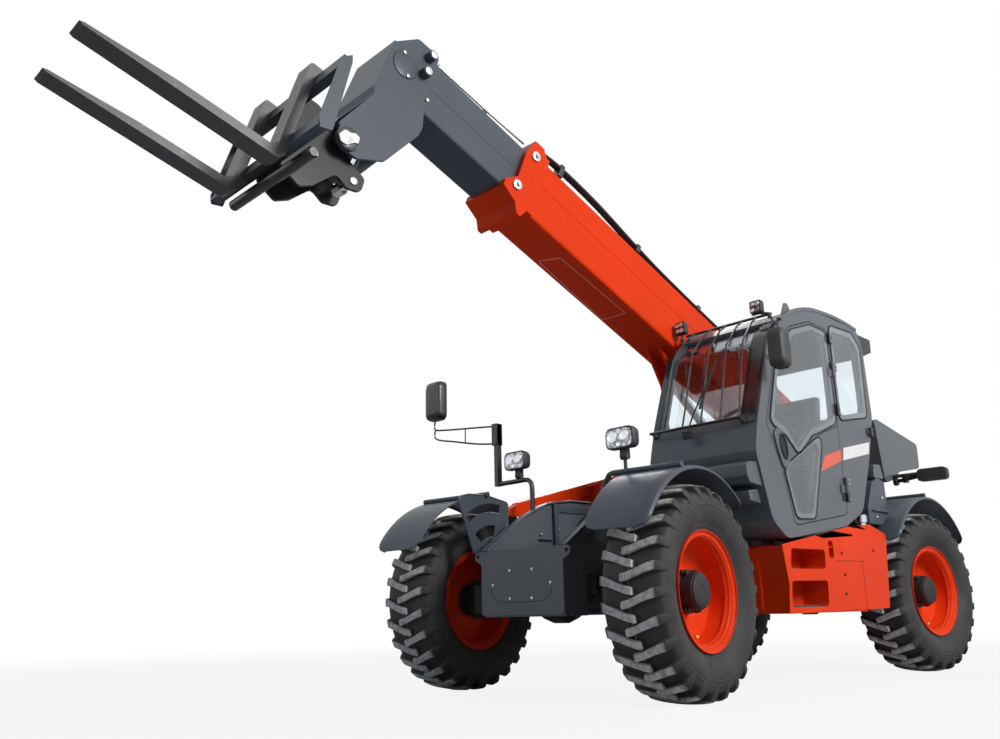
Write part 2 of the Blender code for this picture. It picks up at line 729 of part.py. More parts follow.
def angle_about_axle(vertex):
    return atan2(vertex.co.x, -vertex.co.z) % (2 * pi)


def zip_rings(shape, first, second):
    """Join two rings with any counts of points, always taking the next point by its angle."""
    def ordered(ring):
        pairs = sorted((angle_about_axle(vertex), i) for i, vertex in enumerate(ring))
        return [(angle, ring[i]) for angle, i in pairs]
    a, b = ordered(first), ordered(second)
    i = j = 0
    while i < len(a) or j < len(b):
        here_a, here_b = a[i % len(a)][1], b[j % len(b)][1]
        next_a = a[(i + 1) % len(a)][0] + 2 * pi * ((i + 1) // len(a))
        next_b = b[(j + 1) % len(b)][0] + 2 * pi * ((j + 1) // len(b))
        if j >= len(b) or (i < len(a) and next_a <= next_b):
            shape.faces.new((here_a, a[(i + 1) % len(a)][1], here_b))
            i += 1
        else:
            shape.faces.new((here_a, b[(j + 1) % len(b)][1], here_b))
            j += 1


def tyre_shape(side, forward):
    """A lugged tyre: two halves with staggered chevron lugs, joined at the centre and at the bead seat."""
    shape = bmesh.new()
    outer = tyre_half(shape, side, 0.0, forward)
    inner = tyre_half(shape, -side, 0.5, forward)
    for rows in (outer, inner):
        for near, far in zip(rows, rows[1:]):
            if len(near) == len(far):
                for i in range(len(near)):
                    j = (i + 1) % len(near)
                    shape.faces.new((near[i], near[j], far[j], far[i]))
            else:
                zip_rings(shape, near, far)
    zip_rings(shape, outer[0], inner[0])
    for i in range(WHEEL_SIDES):
        j = (i + 1) % WHEEL_SIDES
        shape.faces.new((outer[-1][i], outer[-1][j], inner[-1][j], inner[-1][i]))
    bmesh.ops.recalc_face_normals(shape, faces=shape.faces)
    return shape


def rim_shape(side):
    """Rim, dished disc and planetary hub as one turned solid, from the hub's face to the bottom of its bore."""
    inner = BEAD_SEAT_RADIUS - RIM_WALL
    stations = (
        (HUB_FACE_Y, HUB_RADIUS), (HUB_BASE_Y, HUB_RADIUS),
        (HUB_BASE_Y, HUB_BASE_RADIUS), (DISC_Y, DISH_RADIUS), (HUB_BASE_Y, inner), (BEAD_HALF_WIDTH - RIM_WALL, inner),
        (RIM_HALF_WIDTH, FLANGE_RADIUS), (BEAD_HALF_WIDTH, FLANGE_RADIUS), (BEAD_HALF_WIDTH, BEAD_SEAT_RADIUS),
        (-BEAD_HALF_WIDTH, BEAD_SEAT_RADIUS), (-BEAD_HALF_WIDTH, FLANGE_RADIUS), (-RIM_HALF_WIDTH, FLANGE_RADIUS),
        (RIM_WALL - BEAD_HALF_WIDTH, inner), (HUB_BASE_Y - DISC_WALL, inner), (DISC_Y - DISC_WALL, DISH_RADIUS),
        (HUB_REAR_Y, HUB_RADIUS), (HUB_REAR_Y, HUB_BORE_RADIUS), (HUB_REAR_Y + HUB_BORE_DEPTH, HUB_BORE_RADIUS))
    return turned([(side * y, radius) for y, radius in stations], sides=WHEEL_SIDES)


def knuckle_shapes(side):
    """Swivel housing with its two pins, the stub that carries the wheel, and the steering arm."""
    pin = KNUCKLE_HALF_HEIGHT + YOKE_ARM_WALL
    hub_rear = WHEEL_Y - KINGPIN_Y + HUB_REAR_Y
    stub_end = hub_rear + HUB_BORE_DEPTH - RUNNING_GAP
    stub = HUB_BORE_RADIUS * cos(pi / WHEEL_SIDES) - PIN_GAP
    return [
        turned(((-KNUCKLE_HALF_HEIGHT, KNUCKLE_RADIUS), (KNUCKLE_HALF_HEIGHT, KNUCKLE_RADIUS)), axis='z'),
        turned(((-pin, KINGPIN_RADIUS), (pin, KINGPIN_RADIUS)), axis='z', sides=PIN_SIDES),
        turned(((0.0, STUB_FLANGE_RADIUS), (side * (hub_rear - THRUST_GAP), STUB_FLANGE_RADIUS))),
        turned(((0.0, stub), (side * stub_end, stub)), sides=WHEEL_SIDES),
        block((-STEER_ARM_LENGTH, -STEER_ARM_WIDTH / 2, -STEER_ARM_WALL), (0.0, STEER_ARM_WIDTH / 2, 0.0))]


def axle(name, x, surface):
    """Beam axle: the differential's housing, two tubes, pads under the chassis and a yoke at each end."""
    tube_end = YOKE_ROOT_Y - YOKE_ROOT_WALL
    cone = DIFF_HALF_WIDTH + AXLE_TUBE_RADIUS
    nose = -DIFF_NOSE if x > 0 else DIFF_NOSE
    parts = [
        turned((
            (-tube_end, AXLE_TUBE_RADIUS), (-cone, AXLE_TUBE_RADIUS), (-DIFF_HALF_WIDTH / 2, DIFF_RADIUS),
            (DIFF_HALF_WIDTH / 2, DIFF_RADIUS), (cone, AXLE_TUBE_RADIUS), (tube_end, AXLE_TUBE_RADIUS))),
        turned(((0.0, AXLE_TUBE_RADIUS), (nose, AXLE_TUBE_RADIUS / 2)), axis='x')]
    cuts = []
    arm_top = KNUCKLE_HALF_HEIGHT + YOKE_ARM_WALL
    arm_gap = KNUCKLE_HALF_HEIGHT + PIN_GAP
    hole = arm_top + OVERRUN
    for side in (LEFT, RIGHT):
        kingpin = (0.0, side * KINGPIN_Y, 0.0)
        near, far = sorted((side * tube_end, side * YOKE_ROOT_Y))
        parts.append(block((-YOKE_HALF_WIDTH, near, -arm_top), (YOKE_HALF_WIDTH, far, arm_top)))
        for level in (LEFT, RIGHT):
            bottom, top = sorted((level * arm_gap, level * arm_top))
            parts.append(turned(((bottom, YOKE_HALF_WIDTH), (top, YOKE_HALF_WIDTH)), kingpin, 'z'))
            near, far = sorted((side * (YOKE_ROOT_Y - YOKE_ROOT_WALL / 2), side * KINGPIN_Y))
            parts.append(block((-YOKE_HALF_WIDTH, near, bottom), (YOKE_HALF_WIDTH, far, top)))
        cuts.append(turned([(z, bore(KINGPIN_RADIUS, PIN_SIDES)) for z in (-hole, hole)], kingpin, 'z', PIN_SIDES))
        near, far = sorted((side * AXLE_PAD_INNER_Y, side * AXLE_PAD_OUTER_Y))
        parts.append(block(
            (-AXLE_PAD_HALF_LENGTH, near, 0.0), (AXLE_PAD_HALF_LENGTH, far, AXLE_PAD_TOP_Z - TYRE_RADIUS)))
    item = solid(name, surface, parts, cuts)
    item.location = (x, 0.0, TYRE_RADIUS)


def corners(surfaces):
    """Four steered corners: knuckle, rim and tyre on their own kingpin."""
    for end, x, turn in (('front', FRONT_AXLE_X, FRONT_STEER_AT_REST), ('rear', REAR_AXLE_X, REAR_STEER_AT_REST)):
        for hand, side in (('left', LEFT), ('right', RIGHT)):
            name = f'{end}_{hand}'
            kingpin = guide(f'kingpin_{name}', (x, side * KINGPIN_Y, TYRE_RADIUS), (0.0, 0.0, turn))
            centre = guide(f'wheel_centre_{name}', (0.0, side * (WHEEL_Y - KINGPIN_Y), 0.0), parent=kingpin)
            solid(f'knuckle_{name}', surfaces['axle'], knuckle_shapes(side), parent=kingpin)
            solid(f'rim_{name}', surfaces['orange'], [rim_shape(side)], parent=centre)
            solid(f'tyre_{name}', surfaces['tyre'], [tyre_shape(side, LEFT)], parent=centre, flat=TYRE_SMOOTH_ANGLE)


# Chassis
def cab_outline(shares):
    return spread(shares, CAB_REAR_X, CAB_BOTTOM_Z, CAB_LENGTH, CAB_HEIGHT)


def cab_envelope(clearance):
    """The cab's outer body grown by a clearance, to fit what touches it."""
    outline = inset(rounded(cab_outline(CAB_SHARES), CAB_CORNER), -clearance)
    return prism(outline, CAB_RIGHT_Y - clearance, CAB_LEFT_Y + clearance)


def chassis(surfaces):
    """Two deep side plates that rise to the boom's foot, joined by webs, with notches over the axles."""
    outline = rounded(
        spread(FRAME_OUTLINE_SHARES, FRAME_REAR_X, FRAME_BOTTOM_Z, FRAME_LENGTH, FRAME_HEIGHT), FRAME_CORNER)
    front_x = FRAME_REAR_X + FRAME_LENGTH
    inner = FRAME_HALF_WIDTH - FRAME_PLATE
    web = inner + FRAME_PLATE / 2
    over_axle = TYRE_RADIUS + DIFF_RADIUS + RUNNING_GAP
    parts = [
        block((BELLY_REAR_X, -web, FRAME_BOTTOM_Z), (BELLY_FRONT_X, web, FRAME_BOTTOM_Z + CROSS_WALL)),
        block((front_x - CROSS_WALL, -web, FRAME_BOTTOM_Z), (front_x, web, BULKHEAD_TOP_Z)),
        block((TOWER_FRONT_WEB_X, -web, FRAME_BOTTOM_Z), (TOWER_FRONT_WEB_X + CROSS_WALL, web, TOWER_FRONT_WEB_TOP_Z)),
        block((FRAME_REAR_X, -web, TOWER_REAR_WEB_BOTTOM_Z), (FRAME_REAR_X + CROSS_WALL, web, TOWER_REAR_WEB_TOP_Z))]
    for x in (FRONT_AXLE_X, REAR_AXLE_X):
        parts.append(block(
            (x - AXLE_NOTCH_HALF_LENGTH, -web, over_axle), (x + AXLE_NOTCH_HALF_LENGTH, web, over_axle + CROSS_WALL)))
    for x in CAB_MOUNT_X:
        parts.append(block(
            (x, FRAME_HALF_WIDTH - CAB_MOUNT_WIDTH, CAB_MOUNT_BOTTOM_Z),
            (x + CAB_MOUNT_LENGTH, FRAME_HALF_WIDTH, CAB_MOUNT_TOP_Z)))
    cheek_inner = LIFT_EYE_HALF_WIDTH + THRUST_GAP
    cheek = [(LIFT_BASE_X + share * LIFT_EYE_RADIUS, over_axle) for share in LIFT_CHEEK_SHARES]
    cheek += arc((LIFT_BASE_X, LIFT_BASE_Z), LIFT_EYE_RADIUS, 0.0, pi, CYLINDER_SIDES // 2)
    for side in (LEFT, RIGHT):
        parts.append(prism(outline, *sorted((side * inner, side * FRAME_HALF_WIDTH))))
        boss_inner = OUTER_WIDTH / 2 + DOUBLER_WALL + THRUST_GAP
        ends = sorted((side * boss_inner, side * web))
        parts.append(turned([(y, PIVOT_BOSS_RADIUS) for y in ends], (BOOM_PIVOT_X, 0.0, BOOM_PIVOT_Z)))
        parts.append(prism(cheek, *sorted((side * cheek_inner, side * (cheek_inner + LIFT_CHEEK_WALL)))))
    pin_half = cheek_inner + LIFT_CHEEK_WALL / 2
    parts.append(turned(
        ((-pin_half, LIFT_PIN_RADIUS), (pin_half, LIFT_PIN_RADIUS)), (LIFT_BASE_X, 0.0, LIFT_BASE_Z), sides=PIN_SIDES))
    reach = FRAME_HALF_WIDTH + OVERRUN
    cuts = [cab_envelope(SEAT_GAP)]
    for x in (FRONT_AXLE_X, REAR_AXLE_X):
        cuts.append(block(
            (x - AXLE_NOTCH_HALF_LENGTH, -reach, FRAME_BOTTOM_Z - OVERRUN),
            (x + AXLE_NOTCH_HALF_LENGTH, reach, AXLE_PAD_TOP_Z + SEAT_GAP)))
    cuts.append(turned([(y, bore(BOOM_PIN_RADIUS)) for y in (-reach, reach)], (BOOM_PIVOT_X, 0.0, BOOM_PIVOT_Z)))
    solid('chassis_frame', surfaces['grey'], parts, cuts)


def front_plate(surfaces):
    """Bolted plate across the nose with an eye in each ear."""
    outline = spread(
        FRONT_PLATE_SHARES, -FRONT_PLATE_HALF_WIDTH, FRONT_PLATE_BOTTOM_Z, 2 * FRONT_PLATE_HALF_WIDTH, FRONT_PLATE_HEIGHT)
    rear = FRAME_REAR_X + FRAME_LENGTH + SEAT_GAP
    plate = prism(rounded(outline, FRONT_PLATE_CORNER, 2), rear, rear + FRONT_PLATE_WALL, 'yz')
    through = ((rear - OVERRUN, EAR_HOLE_RADIUS), (rear + FRONT_PLATE_WALL + OVERRUN, EAR_HOLE_RADIUS))
    eyes = [turned(through, (0.0, side * EAR_HOLE_Y, EAR_HOLE_Z), 'x', PIPE_SIDES) for side in (LEFT, RIGHT)]
    solid('front_plate', surfaces['grey'], [plate], eyes)


def counterweight(surfaces):
    """Cast block behind the rear axle."""
    length = FRAME_REAR_X - SEAT_GAP - COUNTERWEIGHT_REAR_X
    outline = spread(
        COUNTERWEIGHT_SHARES, COUNTERWEIGHT_REAR_X, COUNTERWEIGHT_BOTTOM_Z, length, COUNTERWEIGHT_HEIGHT)
    body = prism(rounded(outline, COUNTERWEIGHT_CORNER), -COUNTERWEIGHT_HALF_WIDTH, COUNTERWEIGHT_HALF_WIDTH)
    solid('counterweight', surfaces['grey'], [body])


def rear_covers(surfaces):
    """A cover box on each side of the boom's foot."""
    outline = rounded(spread(COVER_SHARES, COVER_REAR_X, COVER_BOTTOM_Z, COVER_LENGTH, COVER_HEIGHT), COVER_CORNER)
    for hand, side in (('left', LEFT), ('right', RIGHT)):
        ends = sorted((side * COVER_INNER_Y, side * COVER_OUTER_Y))
        solid(f'rear_cover_{hand}', surfaces['grey'], [prism(outline, *ends)])


# Boom
def box_section(half_width, low, high, corner, start, end):
    """A rounded rectangle across the boom, carried along it."""
    outline = ((-half_width, low), (half_width, low), (half_width, high), (-half_width, high))
    return prism(rounded(outline, corner, 2), start, end, 'yz')


def inner_section(growth, corner, start, end):
    """The inner boom's outer face, grown by a distance on all four sides."""
    reach = INNER_HEIGHT / 2 + growth
    return box_section(INNER_WIDTH / 2 + growth, INNER_CENTRE_N - reach, INNER_CENTRE_N + reach, corner, start, end)


def boom_outer(surfaces, pivot):
    """Outer section: a box tube with foot pins on doublers, a front collar and the lift cylinder's lug."""
    half, top = OUTER_WIDTH / 2, OUTER_HEIGHT / 2
    collar = spread(COLLAR_SHARES, COLLAR_REAR_S, COLLAR_BOTTOM_N, COLLAR_LENGTH, COLLAR_HEIGHT)
    doubler = spread(DOUBLER_SHARES, DOUBLER_REAR_S, -DOUBLER_HEIGHT / 2, DOUBLER_LENGTH, DOUBLER_HEIGHT)
    root = BOOM_WALL / 2 - top
    lug = [(LIFT_LUG_S + LIFT_LUG_HALF_LENGTH, root), (LIFT_LUG_S - LIFT_LUG_HALF_LENGTH, root)]
    lug += arc((LIFT_LUG_S, LIFT_LUG_N), LIFT_LUG_RADIUS, LIFT_LUG_ARC_START, LIFT_LUG_ARC_END, CYLINDER_SIDES // 2)
    parts = [
        box_section(half, -top, top, OUTER_CORNER, OUTER_REAR_S, OUTER_FRONT_S),
        prism(collar, -COLLAR_HALF_WIDTH, COLLAR_HALF_WIDTH)]
    for side in (LEFT, RIGHT):
        wall = side * (half - BOOM_WALL / 2)
        parts.append(prism(doubler, *sorted((wall, side * (half + DOUBLER_WALL)))))
        parts.append(turned([(y, BOOM_PIN_RADIUS) for y in sorted((wall, side * BOOM_PIN_HALF))]))
        parts.append(prism(lug, *sorted((side * LIFT_LUG_INNER_Y, side * (LIFT_LUG_INNER_Y + LIFT_LUG_WALL)))))
    cuts = [
        box_section(half - BOOM_WALL, BOOM_WALL - top, top - BOOM_WALL, OUTER_CORNER - BOOM_WALL / 2,
                    OUTER_REAR_S - OVERRUN, COLLAR_REAR_S),
        inner_section(THRUST_GAP, INNER_CORNER, COLLAR_REAR_S - OVERRUN, COLLAR_REAR_S + COLLAR_LENGTH + OVERRUN),
        turned(((COLLAR_REAR_S - OVERRUN, PIPE_BORE), (COLLAR_REAR_S + COLLAR_LENGTH, PIPE_BORE)),
               (0.0, 0.0, top + PIPE_RISE), 'x', PIPE_SIDES)]
    solid('boom_outer', surfaces['orange'], parts, cuts, parent=pivot)


def boom_inner(surfaces, slide):
    """Inner section: a box tube that runs in the collar."""
    body = inner_section(0.0, INNER_CORNER, INNER_REAR_S, INNER_FRONT_S)
    bore = inner_section(-BOOM_WALL, INNER_CORNER - BOOM_WALL / 2, INNER_REAR_S - OVERRUN, INNER_FRONT_S + OVERRUN)
    solid('boom_inner', surfaces['slate'], [body], [bore], parent=slide)


def boom_head(surfaces, slide):
    """Head box at the tip: two deep cheeks, a front and a top wall, the section's socket and the tilt pin."""
    outline = rounded(spread(HEAD_SHARES, HEAD_REAR_S, HEAD_BOTTOM_N, HEAD_LENGTH, HEAD_HEIGHT), HEAD_CORNER)
    hollow = spread(HEAD_HOLLOW_SHARES, HEAD_REAR_S, HEAD_BOTTOM_N, HEAD_LENGTH, HEAD_HEIGHT)
    inner = HEAD_HALF_WIDTH - HEAD_PLATE
    middle = HEAD_HALF_WIDTH - HEAD_PLATE / 2
    pivot = (CARRIAGE_PIVOT_S, 0.0, CARRIAGE_PIVOT_N)
    rest = OUTER_HEIGHT / 2 + PIPE_RISE - PIPE_TUBE_RADIUS - SEAT_GAP
    parts = [
        prism(outline, -HEAD_HALF_WIDTH, HEAD_HALF_WIDTH),
        block((PIPE_REST_S, -PIPE_REST_HALF, PIPE_REST_BOTTOM_N), (PIPE_REST_S + PIPE_REST_LENGTH, PIPE_REST_HALF, rest))]
    for side in (LEFT, RIGHT):
        ends = sorted((side * middle, side * (HEAD_HALF_WIDTH + PIVOT_RING_WALL)))
        parts.append(turned([(y, PIVOT_RING_RADIUS) for y in ends], pivot))
    for s, n in ((HEAD_PIN_TOP_S, HEAD_PIN_TOP_N), (HEAD_PIN_SIDE_S, HEAD_PIN_SIDE_N)):
        ends = (middle, HEAD_HALF_WIDTH + HEAD_PIN_LENGTH)
        parts.append(turned([(y, HEAD_PIN_RADIUS) for y in ends], (s, 0.0, n), sides=PIN_SIDES))
    reach = HEAD_HALF_WIDTH + PIVOT_RING_WALL + OVERRUN
    cuts = [
        prism(hollow, -inner, inner),
        inner_section(SEAT_GAP, INNER_CORNER, HEAD_REAR_S - OVERRUN, INNER_FRONT_S + SEAT_GAP),
        turned([(y, bore(CARRIAGE_PIN_RADIUS)) for y in (-reach, reach)], pivot)]
    base = (TILT_BASE_S, 0.0, TILT_BASE_N)
    start = TILT_EYE_HALF_WIDTH + THRUST_GAP
    tilt_pin = [turned(((-middle, TILT_PIN_RADIUS), (middle, TILT_PIN_RADIUS)), base, sides=PIN_SIDES)]
    for side in (LEFT, RIGHT):
        ends = sorted((side * start, side * (start + TILT_COLLAR_LENGTH)))
        tilt_pin.append(turned([(y, TILT_COLLAR_RADIUS) for y in ends], base, sides=PIN_SIDES))
    solid('boom_head', surfaces['slate'], parts, cuts, after=tilt_pin, parent=slide)


def service_pipe(surfaces, pivot, slide):
    """Clamped pipe on the outer section and the bright tube that slides in it with the inner section."""
    n = OUTER_HEIGHT / 2 + PIPE_RISE
    parts = [turned(((PIPE_REAR_S, PIPE_RADIUS), (PIPE_FRONT_S, PIPE_RADIUS)), (0.0, 0.0, n), 'x', PIPE_SIDES)]
    for share in PIPE_CLAMP_SHARES:
        s = PIPE_REAR_S + share * (PIPE_FRONT_S - PIPE_REAR_S)
        parts.append(block(
            (s - PIPE_CLAMP_HALF / 2, -PIPE_CLAMP_HALF, OUTER_HEIGHT / 2 + SEAT_GAP),
            (s + PIPE_CLAMP_HALF / 2, PIPE_CLAMP_HALF, n)))
    bore = turned(((PIPE_REAR_S - OVERRUN, PIPE_BORE), (PIPE_FRONT_S + OVERRUN, PIPE_BORE)), (0.0, 0.0, n), 'x', PIPE_SIDES)
    solid('service_pipe', surfaces['black'], parts, [bore], parent=pivot)
    bright = turned(
        ((PIPE_TUBE_REAR_S, PIPE_TUBE_RADIUS), (PIPE_TUBE_FRONT_S, PIPE_TUBE_RADIUS)), (0.0, 0.0, n), 'x', PIPE_SIDES)
    solid('service_tube', surfaces['chrome'], [bright], parent=slide)


# Cylinders
def barrel(name, surface, parent, size):
    """Cylinder barrel: an eye at its base, an open bore for the rod and a gland ring at its mouth."""
    eye, eye_half, neck, radius, length = size['eye'], size['eye_half'], size['neck'], size['radius'], size['length']
    narrow = CYLINDER_NECK_SHARE * eye_half
    ring = radius + SLIDE_GAP
    mouth = length - CYLINDER_FLOOR
    inside, hole = size['rod'] + THRUST_GAP, bore(size['pin'], PIN_SIDES)
    parts = [
        turned(((0.0, narrow), (neck - radius + narrow, narrow), (neck, radius), (mouth, radius), (mouth, ring), (length, ring)),
               axis='x'),
        turned(((-eye_half, eye), (eye_half, eye)))]
    cuts = [
        turned(((neck + CYLINDER_FLOOR, inside), (length + OVERRUN, inside)), axis='x'),
        turned(((-eye_half - OVERRUN, hole), (eye_half + OVERRUN, hole)), sides=PIN_SIDES)]
    solid(name, surface, parts, cuts, parent=parent)


def rod(name, surface, parent, size, closed):
    """Cylinder rod with the eye and its cross pin at the outer end, in the barrel's frame."""
    eye, half, radius, cross = size['eye'], size['eye_half'], size['rod'], size['cross']
    end = (closed, 0.0, 0.0)
    parts = [
        turned(((closed - size['rod_length'], radius), (closed, radius)), axis='x'),
        turned(((-half, eye), (half, eye)), end),
        turned(((-cross, size['pin']), (cross, size['pin'])), end, sides=PIN_SIDES)]
    solid(name, surface, parts, parent=parent)


def boom_point(s, n):
    """A point of the boom's own frame, in the machine's side view."""
    along, across = cos(BOOM_ANGLE), sin(BOOM_ANGLE)
    return BOOM_PIVOT_X + s * along - n * across, BOOM_PIVOT_Z + s * across + n * along


def cylinders(surfaces):
    """Lift cylinder under the boom and tilt cylinder in its head, each aimed at its rod's pin at rest."""
    pivot_x, pivot_z = boom_point(CARRIAGE_PIVOT_S, CARRIAGE_PIVOT_N)
    along, across = cos(FORK_ANGLE), sin(FORK_ANGLE)
    tilt_pin = (pivot_x + TILT_LUG_A * along - TILT_LUG_B * across, pivot_z + TILT_LUG_A * across + TILT_LUG_B * along)
    lift = dict(eye=LIFT_EYE_RADIUS, eye_half=LIFT_EYE_HALF_WIDTH, neck=LIFT_NECK, radius=LIFT_BARREL_RADIUS,
                length=LIFT_BARREL_LENGTH, rod=LIFT_ROD_RADIUS, rod_length=LIFT_ROD_LENGTH, pin=LIFT_PIN_RADIUS,
                cross=LIFT_LUG_INNER_Y - THRUST_GAP)
    tilt = dict(eye=TILT_EYE_RADIUS, eye_half=TILT_EYE_HALF_WIDTH, neck=TILT_NECK, radius=TILT_BARREL_RADIUS,
                length=TILT_BARREL_LENGTH, rod=TILT_ROD_RADIUS, rod_length=TILT_ROD_LENGTH, pin=TILT_PIN_RADIUS,
                cross=HITCH_INNER_Y - THRUST_GAP)
    for name, base, pin, size in (
            ('lift', (LIFT_BASE_X, LIFT_BASE_Z), boom_point(LIFT_LUG_S, LIFT_LUG_N), lift),
            ('tilt', boom_point(TILT_BASE_S, TILT_BASE_N), tilt_pin, tilt)):
        run, rise = pin[0] - base[0], pin[1] - base[1]
        frame = guide(f'{name}_base', (base[0], 0.0, base[1]), (0.0, -atan2(rise, run), 0.0))
        barrel(f'{name}_barrel', surfaces['black'], frame, size)
        rod(f'{name}_rod', surfaces['chrome'], frame, size, hypot(run, rise))


# Carriage
def carriage(surfaces, frame):
    """Fork carriage: two cross bars, an end cheek on each side and the hitch plates with their pivot pin."""
    rear, front = CARRIAGE_BAR_REAR_A, CARRIAGE_BAR_REAR_A + CARRIAGE_BAR_WALL
    parts = [
        block((rear, -CARRIAGE_HALF_WIDTH, bottom), (front, CARRIAGE_HALF_WIDTH, bottom + CARRIAGE_BAR_HEIGHT))
        for bottom in (CARRIAGE_TOP_BAR_B, CARRIAGE_BOTTOM_BAR_B)]
    cheek = spread(
        CARRIAGE_CHEEK_SHARES, front - CARRIAGE_CHEEK_DEPTH, CARRIAGE_CHEEK_BOTTOM_B,
        CARRIAGE_CHEEK_WIDTH, CARRIAGE_CHEEK_HEIGHT)
    hitch = rounded(spread(HITCH_SHARES, HITCH_REAR_A, HITCH_BOTTOM_B, HITCH_LENGTH, HITCH_HEIGHT), HITCH_CORNER)
    cheek_inner = CARRIAGE_HALF_WIDTH - CARRIAGE_CHEEK_WALL / 2
    for side in (LEFT, RIGHT):
        parts.append(prism(cheek, *sorted((side * cheek_inner, side * (cheek_inner + CARRIAGE_CHEEK_WALL)))))
        parts.append(prism(hitch, *sorted((side * HITCH_INNER_Y, side * (HITCH_INNER_Y + HITCH_WALL)))))
        spacer = sorted((side * (HITCH_INNER_Y + HITCH_WALL / 2), side * (HEAD_HALF_WIDTH - HEAD_PLATE - THRUST_GAP)))
        parts.append(turned([(y, CARRIAGE_SPACER_RADIUS) for y in spacer]))
    pin = HEAD_HALF_WIDTH + PIVOT_RING_WALL
    parts.append(turned(((-pin, CARRIAGE_PIN_RADIUS), (pin, CARRIAGE_PIN_RADIUS))))
    solid('carriage', surfaces['slate'], parts, parent=frame)


def forks(surfaces, frame):
    """Two forged forks: an upright shank hooked on the upper bar and a blade that thins to its tip."""
    outline = spread(FORK_SHARES, FORK_REAR_A, FORK_BOTTOM_B, FORK_LENGTH, FORK_HEIGHT)
    for hand, side in (('left', LEFT), ('right', RIGHT)):
        middle = side * FORK_CENTRE_Y
        blade = prism(outline, middle - FORK_HALF_WIDTH, middle + FORK_HALF_WIDTH)
        solid(f'fork_{hand}', surfaces['slate'], [blade], parent=frame)


# Cab
def pane(shares, low, high, shrink=0.0):
    """A window opening, or its pane, through one wall of the cab."""
    outline = rounded(cab_outline(shares), PANE_CORNER)
    return prism(inset(outline, shrink) if shrink else outline, low, high)


def rear_window(shrink):
    """The rear window's opening, or the room of its pane."""
    low = CAB_BOTTOM_Z + REAR_PANE_LOW_SHARE * CAB_HEIGHT + shrink
    high = CAB_BOTTOM_Z + REAR_PANE_HIGH_SHARE * CAB_HEIGHT - shrink
    return block(
        (CAB_REAR_X - OVERRUN, REAR_PANE_RIGHT_Y + shrink, low),
        (CAB_REAR_X + 2 * CAB_WALL, REAR_PANE_LEFT_Y - shrink, high))


def cab_shell(surfaces):
    """Cab frame: a hollow body whose side view is the same on both sides, open at door and windows."""
    outline = cab_outline(CAB_SHARES)
    outer = prism(rounded(outline, CAB_CORNER), CAB_RIGHT_Y, CAB_LEFT_Y)
    left_wall = (CAB_LEFT_Y - CAB_WALL - OVERRUN, CAB_LEFT_Y + OVERRUN)
    right_wall = (CAB_RIGHT_Y - OVERRUN, CAB_RIGHT_Y + CAB_WALL + OVERRUN)
    cuts = [
        prism(rounded(inset(outline, CAB_WALL), CAB_CORNER - CAB_WALL), CAB_RIGHT_Y + CAB_WALL, CAB_LEFT_Y - CAB_WALL),
        prism(rounded(cab_outline(DOOR_SHARES), DOOR_CORNER), *left_wall),
        pane(QUARTER_PANE_SHARES, *left_wall),
        pane(RIGHT_PANE_SHARES, *right_wall),
        prism(cab_outline(WINDSCREEN_SHARES), WINDSCREEN_RIGHT_Y, WINDSCREEN_LEFT_Y),
        rear_window(0.0)]
    solid('cab_shell', surfaces['grey'], [outer], cuts, after=door_hinges(LEFT))


def cab_glass(surfaces):
    """Windscreen that curves into the roof, and the flat panes of the rear and the sides."""
    outline = rounded(cab_outline(CAB_SHARES), CAB_CORNER)
    for name, right_y, left_y, room in (
            ('windscreen', WINDSCREEN_RIGHT_Y, WINDSCREEN_LEFT_Y,
             prism(inset(cab_outline(WINDSCREEN_SHARES), SEAT_GAP), CAB_RIGHT_Y, CAB_LEFT_Y)),
            ('rear_glass', REAR_PANE_RIGHT_Y, REAR_PANE_LEFT_Y, rear_window(SEAT_GAP))):
        sheet = prism(inset(outline, GLASS_DEPTH), right_y + SEAT_GAP, left_y - SEAT_GAP)
        core = prism(inset(outline, GLASS_DEPTH + GLASS_WALL), right_y - OVERRUN, left_y + OVERRUN)
        solid(name, surfaces['glass'], [sheet], [core], [room])
    left, right = CAB_LEFT_Y - GLASS_DEPTH, CAB_RIGHT_Y + GLASS_DEPTH
    solid('quarter_glass', surfaces['glass'], [pane(QUARTER_PANE_SHARES, left - GLASS_WALL, left, SEAT_GAP)])
    solid('side_glass_right', surfaces['glass'], [pane(RIGHT_PANE_SHARES, right, right + GLASS_WALL, SEAT_GAP)])


def door_hinges(sense):
    """Knuckles and leaves outside the wall: the fixed ones reach back and stand on the door's, which reach ahead."""
    x, y = CAB_REAR_X + DOOR_SHARES[-1][0] * CAB_LENGTH, CAB_LEFT_Y + DOOR_HINGE_OFFSET
    parts = []
    for middle in DOOR_HINGE_Z:
        near, far = middle + sense * THRUST_GAP / 2, middle + sense * DOOR_HINGE_LENGTH
        bottom, top = sorted((near, far))
        parts.append(turned(((bottom, DOOR_HINGE_RADIUS), (top, DOOR_HINGE_RADIUS)), (x, y, 0.0), 'z', PIN_SIDES))
        start, end = sorted((x - sense * RUNNING_GAP, x - sense * DOOR_LEAF_LENGTH))
        parts.append(block((start, CAB_LEFT_Y - DOOR_LEAF_WALL, bottom), (end, CAB_LEFT_Y + DOOR_LEAF_WALL, top)))
    return parts


